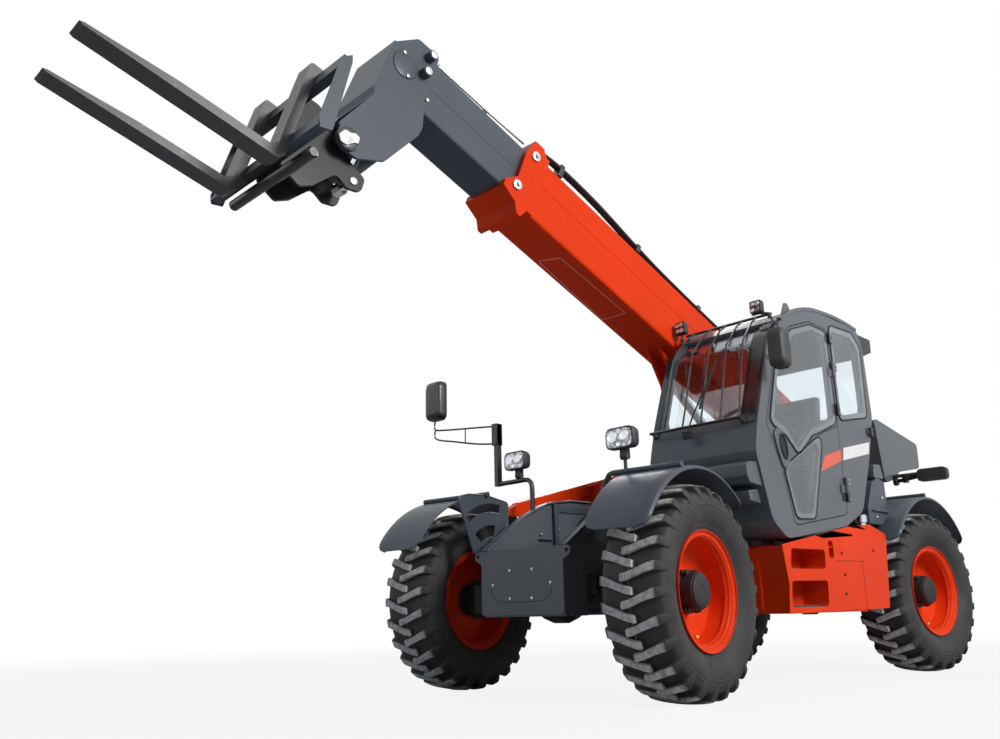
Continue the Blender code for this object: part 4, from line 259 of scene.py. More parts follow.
def steel(name, colour):
    """Dark rolled steel of the forks: mill scale with bright rubbed places."""
    s = Surface(name)
    scale = s.noise(26.0, 5.0, 0.62)
    rub = s.noise(3.0, 3.0)
    wear = scale.step(0.56, 0.68) * rub.step(0.45, 0.7)
    tint = s.mix(wear, colour, shade(colour, 1.4))
    return s.finish(
        Base_Color=tint, Metallic=0.35, Roughness=0.44 - 0.06 * wear, Normal=s.bump(scale, 0.03, 0.0004))


def glass(name, tint, mirror):
    """Thin window glass: clear with a faint tint, more mirror-like at a shallow angle, a little dust."""
    s = Surface(name)
    shallow = s.node("ShaderNodeLayerWeight", None, Blend=0.5, out=1)
    film = s.noise(3.0, 2.0).step(0.4, 0.8) * 0.03
    clear = s.node("ShaderNodeBsdfTransparent", None, tint)
    gloss = s.node("ShaderNodeBsdfPrincipled", None, Base_Color=(0.93, 0.96, 1.0), Metallic=1.0, Roughness=0.02)
    return s.out(s.node("ShaderNodeMixShader", None, shallow ** 4.0 * 0.75 + mirror + film, clear, gloss))


def printed_border_with_painted_sky(name):
    """Printed border of a window: dark grey under a painted reflection of the sky, soft clouds that get a little
    paler towards the roof.
    """
    s = Surface(name)
    # Painted reflection of sky and clouds on the dark print: the soft cloud and the paling towards the roof
    # lighten it.
    cloud = s.noise(2.2, 3.0).step(0.35, 0.7)
    high = s.axes()[2].step(1.3, 2.5)
    tint = s.mix(cloud * 0.6 + high * 0.4, (0.03, 0.036, 0.042), (0.11, 0.128, 0.145))
    return s.finish(Base_Color=tint, Roughness=0.3 + 0.05 * cloud, Coat_Weight=0.1)


def lens(name):
    """Fluted lamp glass in small cells, bright between their dark edges."""
    s = Surface(name)
    flutes = (s.axes()[1] * 420.0).wave() * 0.5 + 0.5
    cells = s.node("ShaderNodeTexVoronoi", None, Vector=s.place(), Scale=26.0)
    tint = s.mix(cells.step(0.3, 0.6), (0.95, 0.96, 0.97), (0.16, 0.17, 0.18))
    return s.finish(
        Base_Color=tint, Metallic=0.5, Roughness=0.1 + 0.08 * flutes, Coat_Weight=1.0,
        Normal=s.bump(cells, 0.6, 0.004))


def fabric(name, colour):
    """Woven seat cloth: two crossed sets of threads."""
    s = Surface(name)
    x, y, z = s.axes()
    threads = 1400.0
    weave = (y * threads).wave() * ((z + x) * threads).wave()
    cloud = s.noise(14.0, 3.0)
    tint = s.mix(weave.step(-0.4, 0.6), shade(colour, 0.7), shade(colour, 1.3))
    return s.finish(
        Base_Color=tint, Roughness=0.82 + 0.1 * cloud, Sheen_Weight=0.3,
        Normal=s.bump(weave, 0.3, 0.0006))


ORANGE, GREY = (0.8, 0.046, 0.004), (0.1, 0.114, 0.13)
LOOKS = {
    "orange_paint": paint("orange_paint", ORANGE, 0.34, 0.1, 0.0, 0.1),
    "grey_paint": paint("grey_paint", GREY, 0.38, 0.08, 0.15, 0.35),
    "slate_paint": paint("slate_paint", (0.068, 0.084, 0.106), 0.38, 0.08, 0.08, 0.26),
    "black_plastic": plastic("black_plastic", (0.034, 0.035, 0.037)),
    "black_steel": paint("black_steel", (0.01, 0.01, 0.011), 0.32, 0.1, 0.3),
    "cast_iron": casting("cast_iron", (0.012, 0.012, 0.013)),
    "chrome": metal("chrome", (0.8, 0.81, 0.83)),
    "zinc": metal("zinc", (0.62, 0.63, 0.65), 0.28),
    "brass": metal("brass", (0.75, 0.52, 0.2), 0.25),
    "dull_steel": metal("dull_steel", (0.27, 0.275, 0.28), 0.42),
    "carriage_paint": paint("carriage_paint", (0.068, 0.082, 0.102), 0.38, 0.08, 0.08, 0.26, inside=0.2),
    "fork_steel": steel("fork_steel", (0.082, 0.08, 0.083)),
    "glass": glass("window_glass", (0.95, 0.98, 0.99), 0.055),
    "cover": glass("lamp_cover", (0.98, 0.98, 0.99), 0.04),
    "mirror": metal("mirror_glass", (0.85, 0.87, 0.88), 0.02),
    "lens": lens("lamp_lens"),
    "seal": plastic("rubber_seal", (0.008, 0.008, 0.008), 0.65),
    "patch_line": paint("panel_line", (0.8, 0.42, 0.36), 0.4, 0.1),
    "white": paint("white_stripe", (0.78, 0.78, 0.77), 0.35, 0.1),
    "patch": paint("orange_patch", (0.74, 0.075, 0.025), 0.35, 0.1),
    "border": printed_border_with_painted_sky("window_border"),
    "frit": plastic("glass_border", (0.03, 0.034, 0.038), 0.05),
    "cloth": fabric("seat_cloth", (0.03, 0.031, 0.034))}


# Shapes: each gives points and faces, worked out as whole arrays
def quads(rows, columns, wrap_rows, wrap_columns):
    """Faces between neighbouring points of a grid, also across its ends where it wraps."""
    r = np.arange(rows if wrap_rows else rows - 1)
    c = np.arange(columns if wrap_columns else columns - 1)
    a, b = np.meshgrid(r, c, indexing="ij")
    down, over = (a + 1) % rows, (b + 1) % columns
    corners = (a * columns + b, a * columns + over, down * columns + over, down * columns + b)
    return np.stack(corners, -1).reshape(-1, 4).tolist()


def skin(grid, wrap_rows=False):
    """A grid of points as a closed surface: its first and last rows are filled unless it wraps."""
    rows, columns = grid.shape[:2]
    faces = quads(rows, columns, wrap_rows, True)
    if not wrap_rows:
        faces += [list(range(columns))[::-1], list(range((rows - 1) * columns, rows * columns))]
    return grid.reshape(-1, 3), faces


def turned(profile, centre, axis, sides, ring=False):
    """Each (distance, radius) of the profile is a circle round the axis.

    A point is centre + distance axis + radius (u cos t + v sin t).
    """
    profile = np.asarray(profile, float)
    axis = np.asarray(axis, float) / np.linalg.norm(axis)
    u = np.cross(axis, UP if abs(axis[2]) < 0.9 else AHEAD)
    u /= np.linalg.norm(u)
    v = np.cross(axis, u)
    t = np.linspace(0.0, 2.0 * np.pi, sides, endpoint=False)[:, None]
    circle = np.cos(t) * u + np.sin(t) * v
    grid = np.asarray(centre) + profile[:, :1, None] * axis + profile[:, 1:, None] * circle[None]
    return skin(grid, ring)


def swept(path, radius, sides, closed=False):
    """A circle of one radius carried along a path, square to it at each point."""
    path = np.asarray(path, float)
    ahead = (np.roll(path, -1, 0) - np.roll(path, 1, 0)) if closed else np.gradient(path, axis=0)
    ahead /= np.linalg.norm(ahead, axis=1)[:, None]
    spread = np.ptp(path, axis=0)
    up = np.eye(3)[int(np.argmin(spread))]
    side = np.cross(ahead, up)
    side /= np.linalg.norm(side, axis=1)[:, None]
    other = np.cross(side, ahead)
    t = np.linspace(0.0, 2.0 * np.pi, sides, endpoint=False)[None, :, None]
    grid = path[:, None] + radius * (np.cos(t) * side[:, None] + np.sin(t) * other[:, None])
    return skin(grid, closed)


def smooth_path(points, count):
    """A cubic curve through the points at evenly spread parameters; each slope comes from the two neighbours."""
    p = np.asarray(points, float)
    p = np.vstack([2 * p[0] - p[1], p, 2 * p[-1] - p[-2]])
    t = np.linspace(0.0, len(points) - 1 - 1e-9, count)
    i = t.astype(int)
    f = (t - i)[:, None]
    a, b, c, d = p[i], p[i + 1], p[i + 2], p[i + 3]
    return 0.5 * (2 * b + (c - a) * f + (2 * a - 5 * b + 4 * c - d) * f ** 2 + (3 * b - a - 3 * c + d) * f ** 3)


def tube(points, count, radius, sides):
    """A circle carried along a smooth curve through the points."""
    return swept(smooth_path(points, count), radius, sides)


def plate(outline, low, high, plane="xz"):
    """A flat outline carried from one depth to another."""
    outline = np.asarray(outline, float)
    depth = np.array([low, high])[:, None] * np.ones(len(outline))
    u, v = (np.broadcast_to(outline[:, i], depth.shape) for i in (0, 1))
    order = {"xz": (u, depth, v), "yz": (depth, u, v), "xy": (u, v, depth)}[plane]
    return skin(np.stack(order, -1))


def holed_plate(outline, holes, low, high, plane="xz"):
    """A flat outline with holes carried from one depth to another: its two faces are cut into triangles."""
    loops = [np.asarray(loop, float) for loop in (outline, *holes)]
    flat = np.vstack(loops)
    count = len(flat)
    depth = np.repeat([low, high], count)
    u, v = np.tile(flat[:, 0], 2), np.tile(flat[:, 1], 2)
    order = {"xz": (u, depth, v), "yz": (depth, u, v), "xy": (u, v, depth)}[plane]
    cut = tessellate_polygon([[Vector((a, b, 0.0)) for a, b in loop] for loop in loops])
    faces = [list(face) for face in cut] + [[i + count for i in face[::-1]] for face in cut]
    start = 0
    for loop in loops:
        i = start + np.arange(len(loop))
        j = np.roll(i, -1)
        faces += np.stack([i, j, j + count, i + count], -1).tolist()
        start += len(loop)
    return np.stack(order, -1), faces


def grown(outline, width):
    """The outline moved outwards along its corners' middle directions."""
    outline = np.asarray(outline, float)
    ahead = np.roll(outline, -1, 0) - np.roll(outline, 1, 0)
    ahead /= np.linalg.norm(ahead, axis=1)[:, None]
    after = np.roll(outline, -1, 0)
    turn = np.sign(np.sum(outline[:, 0] * after[:, 1] - after[:, 0] * outline[:, 1]))
    return outline - width * turn * np.stack([-ahead[:, 1], ahead[:, 0]], -1)


POCKET_WALL = 0.006


def levels(*rows):
    """Side-view outlines, each with its depth y, as one grid of points."""
    return np.stack([np.stack([p[:, 0], np.full(len(p), y), p[:, 1]], -1) for p, y in rows])


def pocket(outline, mouth, floor):
    """An open tray: the outline inside, from its mouth to its floor, and the same grown by the wall outside."""
    outer = grown(outline, POCKET_WALL)
    return skin(levels((outline, floor + POCKET_WALL), (outline, mouth), (outer, mouth), (outer, floor)))


def ring_plate(outline, wall, low, high):
    """A frame of one width round an outline, as four rows of points that close on themselves."""
    outline = np.asarray(outline, float)
    inner = grown(outline, -wall)
    return skin(levels((outline, low), (outline, high), (inner, high), (inner, low)), wrap_rows=True)


def box(low, high):
    """A block between two corners."""
    (x0, y0, z0), (x1, y1, z1) = low, high
    return plate(((x0, z0), (x1, z0), (x1, z1), (x0, z1)), y0, y1)


def rounded(outline, radius, steps):
    """A closed outline with each corner as an arc between the two sides."""
    p = np.asarray(outline, float)
    back, ahead = np.roll(p, 1, 0) - p, np.roll(p, -1, 0) - p
    lb, la = np.linalg.norm(back, axis=1), np.linalg.norm(ahead, axis=1)
    back, ahead = back / lb[:, None], ahead / la[:, None]
    half = 0.5 * np.arccos(np.clip((back * ahead).sum(1), -1, 1))
    cut = np.minimum(radius / np.tan(half), 0.48 * np.minimum(lb, la))
    t = np.linspace(0.0, 1.0, steps)[None, :, None]
    start, end = (p + back * cut[:, None])[:, None], (p + ahead * cut[:, None])[:, None]
    curve = (1 - t) ** 2 * start + 2 * t * (1 - t) * p[:, None] + t ** 2 * end
    return curve.reshape(-1, 2)


def oblong(centre, width, height, radius, steps):
    """A rounded rectangle round a point."""
    (u, v), w, h = centre, width / 2, height / 2
    return rounded(((u - w, v - h), (u + w, v - h), (u + w, v + h), (u - w, v + h)), radius, steps)


def arc(centre, radius, start, end, count):
    """Points of a circle between two angles in degrees."""
    t = np.radians(np.linspace(start, end, count))
    return np.stack([centre[0] + radius * np.cos(t), centre[1] + radius * np.sin(t)], -1)


def tilted(shape, turn, origin):
    """Points (s, y, n) of a frame that is turned up by an angle and set at its origin, into the model's."""
    p, faces = shape
    c, k = np.cos(turn), np.sin(turn)
    return np.stack([p[:, 0] * c - p[:, 2] * k, p[:, 1], p[:, 0] * k + p[:, 2] * c], -1) + origin, faces


BOOM_FRAME = (BOOM_TILT, BOOM_PIVOT)
FORK_FRAME = (FORK_TILT, tilted((np.array([CARRIAGE_PIVOT]), None), *BOOM_FRAME)[0][0])
FRAMES = {"boom": BOOM_FRAME, "extension": BOOM_FRAME, "fork_carriage": FORK_FRAME}


def cab(shares):
    """Shares of the cab's length and height as points of its side view."""
    shares = np.asarray(shares, float)
    return shares * (CAB_LONG, CAB_TALL) + (CAB_REAR, CAB_LOW)


BEVEL_FROM = np.radians(40)


def put(name, body, look, shapes, bevel=0.0, replaces=(), angle=35.0):
    """Fuse the arrays into one mesh object with this finish, and let it ride on a body.

    Shapes of the boom and the carriage are drawn in those bodies' own frames.
    """
    points, faces, count = [], [], 0
    for shape in shapes:
        p, f = tilted(shape, *FRAMES[body]) if body in FRAMES else shape
        points.append(p)
        faces += [[i + count for i in face] for face in f]
        count += len(p)
    mesh = bpy.data.meshes.new(name)
    mesh.from_pydata(np.vstack(points), [], faces)
    work = bmesh.new()
    work.from_mesh(mesh)
    bmesh.ops.recalc_face_normals(work, faces=work.faces)
    work.to_mesh(mesh)
    work.free()
    mesh.materials.append(LOOKS[look] if isinstance(look, str) else look)
    mesh.shade_smooth()
    mesh.set_sharp_from_angle(angle=np.radians(angle))
    item = bpy.data.objects.new(name, mesh)
    bpy.context.scene.collection.objects.link(item)
    if bevel:
        edge = item.modifiers.new("edge", "BEVEL")
        edge.width, edge.segments = bevel, 2
        edge.limit_method, edge.angle_limit = "ANGLE", BEVEL_FROM
        edge.harden_normals = False
    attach(item, body)
    if replaces:
        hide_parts(*replaces)
    return item


def bolts(places, axis, radius, height, washer):
    """Hexagon heads along the axis at these places, each on a washer of so many times its radius."""
    axis = np.asarray(axis, float)
    shapes = []
    for spot in places:
        shapes.append(turned(((0.0, radius * washer), (height * 0.3, radius * washer)), spot, axis, 20))
        shapes.append(turned(((0.0, radius), (height * 0.85, radius), (height, radius * 0.85)), spot, axis, 6))
    return shapes


# Wheels
LUGS, RIBS = 26, ((0.356, 0.0022), (0.395, 0.0016), (0.478, 0.003), (0.498, 0.0016))


def tyre(centre, side):
    """A carcass turned from its profile, and lugs as bars swept from past the centre over the shoulder.

    A lug's middle line follows the angle sweep(w) as its distance w from the centre grows; its section is a
    bar with chamfered upper edges, six points round.
    """
    profile = smooth_path([
        (0.1497, 0.3052), (0.152, 0.34), (0.163, 0.362), (0.186, 0.4), (0.1985, 0.442), (0.199, 0.48),
        (0.193, 0.512), (0.176, 0.54), (0.12, 0.558), (0.0, 0.564)], 56)
    for place, size in RIBS:
        profile[:, 0] += size * np.exp(-((profile[:, 1] - place) / 0.0035) ** 2) * (profile[:, 0] > 0.12)
    full = np.vstack([profile, (profile * (-1, 1))[::-1][1:]])
    shapes = [turned(full, centre, ACROSS, 104, ring=True)]
    pitch = 2 * np.pi / LUGS
    stations = np.array([
        # w of the top, radius of the top, w of the root, radius of the root, sweep in pitches, half width
        (-0.034, 0.599, -0.038, 0.556, 0.0, 0.0165),
        (-0.03, 0.6, -0.034, 0.556, 0.0, 0.019),
        (0.005, 0.6, 0.005, 0.556, 0.05, 0.019),
        (0.045, 0.599, 0.045, 0.555, 0.15, 0.019),
        (0.09, 0.596, 0.09, 0.552, 0.27, 0.02),
        (0.135, 0.5905, 0.132, 0.546, 0.375, 0.023),
        (0.158, 0.585, 0.152, 0.538, 0.415, 0.0255),
        (0.174, 0.576, 0.164, 0.528, 0.43, 0.0255),
        (0.19, 0.548, 0.176, 0.512, 0.435, 0.0235),
        (0.1975, 0.515, 0.186, 0.5, 0.435, 0.02),
        (0.1985, 0.496, 0.19, 0.49, 0.435, 0.017)])
    w, top, low_w, root, sweep, half = (stations[:, i][None, :, None] for i in range(6))
    across = np.array([-1.45, -1.02, -0.9, 0.9, 1.02, 1.45])
    lift = np.array([0.0, 0.95, 1.0, 1.0, 0.95, 0.0])
    for hand, phase in ((side, 0.0), (-side, 0.5)):
        i = np.arange(LUGS)[:, None, None]
        r = root + (top - root) * lift
        y = low_w + (w - low_w) * lift
        angle = (i + phase + sweep) * pitch + across * half / AXLE_Z
        bars = [centre[0] + r * np.sin(angle), centre[1] + hand * y + 0 * angle, centre[2] - r * np.cos(angle)]
        shapes += [skin(bar) for bar in np.stack(bars, -1)]
    return shapes


def rim(centre, side):
    """Orange rim and dished disc as one turned ring, smooth through its profile."""
    outer = smooth_path([
        (0.128, 0.2925), (0.14, 0.296), (0.15, 0.315), (0.156, 0.33), (0.163, 0.3345), (0.166, 0.33)], 14)
    front = [
        (0.012, 0.105), (0.012, 0.128), (0.006, 0.132), (-0.036, 0.16), (-0.04, 0.175), (-0.03, 0.196),
        (0.002, 0.27), (0.006, 0.286), (0.014, 0.2905), (0.1, 0.2905), (0.104, 0.286), (0.116, 0.286),
        (0.12, 0.2905)]
    lip = [
        (0.1665, 0.3345), (0.158, 0.3365), (0.1505, 0.334), (0.15, 0.3049), (-0.15, 0.3049), (-0.15, 0.335),
        (-0.165, 0.335)]
    back = [
        (-0.16, 0.325), (-0.142, 0.296), (-0.12, 0.2925), (-0.006, 0.2925), (-0.012, 0.27), (-0.054, 0.172),
        (-0.054, 0.105)]
    profile = np.vstack([front, outer, lip, back]) * (side, 1.0)
    return [turned(profile, centre, ACROSS, 72, ring=True)]


def hub(centre, side):
    """Dark planetary hub with a chamfered cap and four plugs."""
    stations = np.array([
        (-0.075, 0.046), (-0.075, 0.105), (0.01, 0.105), (0.01, 0.122), (0.034, 0.122), (0.036, 0.106),
        (0.108, 0.104), (0.11, 0.098), (0.12, 0.097), (0.1245, 0.09), (0.1245, 0.03), (0.122, 0.028),
        (0.122, 0.001)])
    bore = np.array([(0.12, 0.001), (-0.01, 0.001), (-0.01, 0.046)])
    shapes = [turned(np.vstack([stations, bore]) * (side, 1.0), centre, ACROSS, 56, ring=True)]
    x, y, z = centre
    for angle in (0.55, 2.59, 3.69, 5.74):
        spot = (x + 0.121 * np.sin(angle), y + side * 0.03, z + 0.121 * np.cos(angle))
        shapes.append(turned(((0.0, 0.016), (0.02, 0.016), (0.024, 0.012), (0.04, 0.012)), spot,
            (0.0, side, 0.0), 12))
    return shapes


def steered(shapes, x, side, turn):
    """The shapes turned about the upright line of a kingpin."""
    c, k = np.cos(turn), np.sin(turn)
    pivot = np.array([x, side * KINGPIN_Y, 0.0])
    spin = np.array([[c, k, 0.0], [-k, c, 0.0], [0.0, 0.0, 1.0]])
    return [((p - pivot) @ spin + pivot, faces) for p, faces in shapes]


for name, x, side, degrees in WHEELS:
    turn = np.radians(degrees)
    centre = (x, side * (KINGPIN_Y + WHEEL_OFFSET), AXLE_Z)
    body = f"wheel_{name}"
    middle = steered([(np.array([centre]), None)], x, side, turn)[0][0][0]
    put(f"lugged_tyre_{name}", body, rubber(f"tyre_rubber_{name}", [float(v) for v in middle], turn),
        steered(tyre(centre, side), x, side, turn),
        replaces=[f"tyre_{name}"], angle=30)
    put(f"painted_rim_{name}", body, "orange_paint", steered(rim(centre, side), x, side, turn),
        replaces=[f"rim_{name}"])
    put(f"hub_{name}", body, "cast_iron", steered(hub(centre, side), x, side, turn))
    stem = (x - 0.03, centre[1] + side * 0.01, AXLE_Z - 0.262)
    valve = turned(((0.0, 0.012), (0.01, 0.012), (0.012, 0.005), (0.045, 0.005), (0.047, 0.008),
        (0.062, 0.008)), stem, (0.35 * side, side, 0.3), 12)
    put(f"valve_{name}", body, "brass", steered([valve], x, side, turn))


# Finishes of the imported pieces
for node, piece in frame["nodes"].items():
    entry = next(part for part in frame["record"]["subparts"] if part["node"] == node)
    look = LOOKS.get(entry["material_slot"], LOOKS["black_steel"])
    if node.startswith("fork_"):
        look = LOOKS["fork_steel"]
    if node == "carriage":
        look = LOOKS["carriage_paint"]
    for slot in piece.material_slots:
        slot.material = look


# Lamps and mirrors
def shell(centre, outline, depth, stations):
    """A rounded (y, z) outline carried along x: each station has its share of the depth and of the outline."""
    x, y, z = centre
    place, share = np.array(stations)[:, :1], np.array(stations)[:, 1:]
    along = np.broadcast_to(x + depth * place, (len(place), len(outline)))
    return skin(np.stack([along, y + share * outline[:, 0], z + share * outline[:, 1]], -1))


def headlamp(name, centre, stalk):
    """Road lamp on a clamped stalk: shell with a bezel, two bowls and an indicator behind a clear cover."""
    x, y, z = centre
    stations = ((-0.5, 0.45), (-0.44, 0.66), (-0.2, 0.9), (0.1, 1.0), (0.44, 1.0), (0.5, 0.965), (0.47, 0.9))
    put(f"{name}_shell", "chassis", "black_plastic", [
        shell(centre, oblong((0.0, 0.0), 0.21, 0.13, 0.045, 8), 0.1, stations),
        swept([(x, y, level) for level in stalk], 0.011, 12),
        box((x - 0.02, y - 0.024, z - 0.098), (x + 0.02, y + 0.024, z - 0.06)),
        turned(((-0.026, 0.02), (0.026, 0.02)), (x, y, z - 0.105), ACROSS, 20)], 0.002, replaces=[name])
    face = x + 0.0475
    bowl = ((0.0015, 1.0), (0.006, 0.94), (0.0035, 0.88), (0.0012, 0.45))
    put(f"{name}_bowls", "chassis", "chrome", [
        turned([*((d, r * share) for d, share in bowl), (0.001, 0.001)], (face, y + dy, z + dz), AHEAD, 32)
        for dy, dz, r in ((-0.052, 0.012, 0.038), (0.04, 0.014, 0.034), (-0.004, -0.034, 0.018))])
    for part, look, wide, tall, corner, low, high, bevel in (
            ("reflector", "lens", 0.186, 0.106, 0.034, -0.003, 0.001, 0.0),
            ("cover", "cover", 0.19, 0.11, 0.036, 0.0075, 0.0095, 0.001)):
        outline = oblong((y, z), wide, tall, corner, 8)
        put(f"{name}_{part}", "chassis", look, [plate(outline, face + low, face + high, "yz")], bevel)


def work_lamp(name, y, foot_y):
    """Square lamp with four small lenses and cooling fins behind, on a bent stalk."""
    x, z = -0.83, 2.565
    fins = [box((x - 0.04, y + i * 0.014 - 0.003, z - 0.036), (x - 0.006, y + i * 0.014 + 0.003, z + 0.036))
            for i in range(-2, 3)]
    stalk = [(x, foot_y, 2.46), (x, foot_y, 2.495), (x, (y + foot_y) / 2, 2.51), (x, y, 2.525)]
    put(f"{name}_shell", "chassis", "black_plastic", [
        plate(oblong((y, z), 0.09, 0.09, 0.014, 6), x - 0.01, x + 0.03, "yz"), *fins,
        tube(stalk, 14, 0.01, 12),
        box((x - 0.018, y - 0.049, z - 0.049), (x + 0.01, y + 0.049, z - 0.043)),
        turned(((0.0, 0.016), (0.012, 0.016)), (x, foot_y, 2.47), UP, 16)], 0.0015, replaces=[name])
    lens_profile = ((0.0, 0.0175), (0.004, 0.0175), (0.002, 0.015), (0.0045, 0.008), (0.005, 0.001))
    put(f"{name}_lenses", "chassis", "lens", [
        turned(lens_profile, (x + 0.0305, y + i * 0.0205, z + k * 0.0205), AHEAD, 24)
        for i in (-1, 1) for k in (-1, 1)])


headlamp("headlamp_left", (0.58, 0.755, 1.48), (1.302, 1.35, 1.42))
headlamp("headlamp_right", (0.226, -0.5, 1.545), (1.422, 1.45, 1.49))
work_lamp("work_lamp_left", 0.885, 0.975)
work_lamp("work_lamp_right", 0.23, 0.228)


def mirror_shell(name, centre, width, height, depth):
    """Bowed mirror housing open at the back; its glass is a piece of its own."""
    x, y, z = centre
    pane = oblong((y, z), width * 0.92, height * 0.95, 0.045, 8)
    put(f"{name}_glass", "chassis", "mirror", [plate(pane, x - depth * 0.47, x - depth * 0.44, "yz")])
    return shell(centre, oblong((0.0, 0.0), width, height, 0.05, 8), depth, (
        (0.5, 0.6), (0.46, 0.78), (0.3, 0.94), (0.0, 1.0), (-0.5, 1.0), (-0.5, 0.93), (-0.44, 0.93)))


POST_X = 0.226
post = [(-0.3769, 1.02), (-0.3769, 1.2), (-0.3769, 1.345), (-0.394, 1.388), (-0.435, 1.405), (-0.55, 1.405),
        (-0.735, 1.405)]
upper_arm = [(POST_X, -0.735, 1.835), (0.3, -0.85, 1.835), (0.44, -1.07, 1.833), (0.48, -1.13, 1.845),
             (0.48, -1.13, 1.915)]
lower_arm = [(POST_X, -0.735, 1.705), (0.3, -0.85, 1.712), (0.4, -1.0, 1.74), (0.474, -1.122, 1.77),
             (0.48, -1.13, 1.845)]
put("mirror_post_dress", "chassis", "black_steel", [
    tube([(POST_X, y, z) for y, z in post], 40, 0.0175, 16),
    box((0.206, -0.74, 1.39), (0.246, -0.7, 1.85)), box((0.196, -0.752, 1.69), (0.256, -0.7, 1.85)),
    tube(upper_arm, 30, 0.0065, 10), tube(lower_arm, 30, 0.0065, 10),
    swept([(0.353, -0.934, z) for z in (1.833, 1.78, 1.722)], 0.005, 8),
    mirror_shell("right_mirror", (0.48, -1.13, 2.06), 0.18, 0.3, 0.08)], 0.002, replaces=["mirror_post"])
low_arm = [(-0.64, 1.052, 2.14), (-0.62, 1.09, 2.14), (-0.58, 1.14, 2.14), (-0.56, 1.18, 2.14)]
high_arm = [(-0.69, 1.052, 2.33), (-0.64, 1.1, 2.35), (-0.57, 1.17, 2.335), (-0.545, 1.19, 2.285)]
put("cab_mirror_dress", "chassis", "black_plastic", [
    mirror_shell("cab_mirror", (-0.545, 1.175, 2.15), 0.125, 0.28, 0.095),
    tube(low_arm, 12, 0.008, 10), tube(high_arm, 16, 0.008, 10)], 0.002, replaces=["cab_mirror"])


# Mudguards
SHEET_RADIUS, TUBE_RISE, END_CORNER = 0.726, 0.0114, 0.085


def mudguard(name, centre, start, end, side, tube_x, tube_y, turn=0.0, extras=()):
    """A rolled sheet on a cross tube: its section in (y, radius) is carried round the wheel.

    Near each end the section is drawn in along a quarter circle, which rounds the sheet's corners.
    """
    section = np.array([
        (0.722, 0.7185), (0.72, 0.7225), (0.722, 0.726), (1.04, 0.7265), (1.105, 0.7255), (1.122, 0.7215),
        (1.13, 0.711), (1.13, 0.7035), (1.127, 0.701), (1.123, 0.7035), (1.1225, 0.708), (1.115, 0.7155),
        (1.04, 0.7185)])
    t = np.linspace(0.0, 1.0, 72)
    angle = np.radians(start + (end - start) * t)
    room = np.minimum(t, 1.0 - t) * SHEET_RADIUS * np.radians(end - start)
    inside = np.maximum(END_CORNER - room, 0.0)
    drawn = END_CORNER - np.sqrt(END_CORNER ** 2 - inside ** 2)
    y = section[None, :, 0] - drawn[:, None] * np.where(section[None, :, 0] > 0.9, 1.0, -1.0)
    r = np.broadcast_to(section[None, :, 1], y.shape)
    angle = angle[:, None]
    grid = np.stack([centre[0] + r * np.cos(angle), side * y, centre[1] + r * np.sin(angle)], -1)
    level = centre[1] + np.sqrt(SHEET_RADIUS ** 2 - (tube_x - centre[0]) ** 2) + TUBE_RISE
    cross = swept([(tube_x, side * y, level) for y in (tube_y, 0.8, 1.105)], 0.0185, 16)
    sheet = steered([skin(grid), cross], WHEELS[0][1], side, turn)
    put(f"mudguard_{name}", "chassis", "slate_paint", [*sheet, *extras], 0.001,
        replaces=[f"fender_{name}"])


def bracket():
    """Plate from the frame's nose to the right mudguard: two curved windows, rolled edges and its foot."""
    low, size = np.array([0.345, 0.88]), np.array([0.452, 0.397])
    shares = np.array([
        (1.0, 0.942), (0.783, 1.0), (0.434, 1.0), (0.007, 0.909), (0.018, 0.554), (0.188, 0.227), (0.343, 0.05),
        (0.697, 0.013)])
    outline = rounded(low + shares * size, 0.03, 4)
    middle, y = np.array([0.5, 0.88]), -0.5
    windows = (np.vstack([arc(middle, outer, first, last, 12), arc(middle, inner, last, first, 12)])
               for inner, outer, first, last in ((0.285, 0.35, 46, 104), (0.12, 0.205, 40, 100)))
    holes = [rounded(window, 0.012, 3) for window in windows]
    rims = [swept(np.insert(hole, 1, y, axis=1), 0.0055, 6, closed=True) for hole in holes]
    edge = swept(np.insert(outline, 1, y, axis=1), 0.0075, 8, closed=True)
    foot = swept([(0.5, -0.3605, 0.965), (0.5, -0.43, 0.965), (0.5, y, 0.965)], 0.0335, 20)
    return [holed_plate(outline, holes, y - 0.004, y + 0.004), edge, foot, *rims]


STRUT = [
    (0.594, 0.665, 1.284), (0.586, 0.637, 1.281), (0.572, 0.603, 1.26), (0.556, 0.56, 1.215),
    (0.54, 0.52, 1.15), (0.5, 0.3605, 0.965)]
foot = turned(((0.3605, 0.045), (0.372, 0.045), (0.376, 0.04)), (0.5, 0.0, 0.965), ACROSS, 24)
front_turn = np.radians(WHEELS[0][3])
mudguard("front_left", (0.4, 0.57), 29, 135, 1, 0.58, 0.64, front_turn, [tube(STRUT, 30, 0.0165, 14), foot])
mudguard("front_right", (0.4, 0.57), 29, 135, -1, 0.58, 0.5, front_turn, bracket())
mudguard("rear_left", (-2.72, 0.6), 31, 149, 1, -2.72, 0.3605)
mudguard("rear_right", (-2.72, 0.6), 31, 149, -1, -2.72, 0.3605)


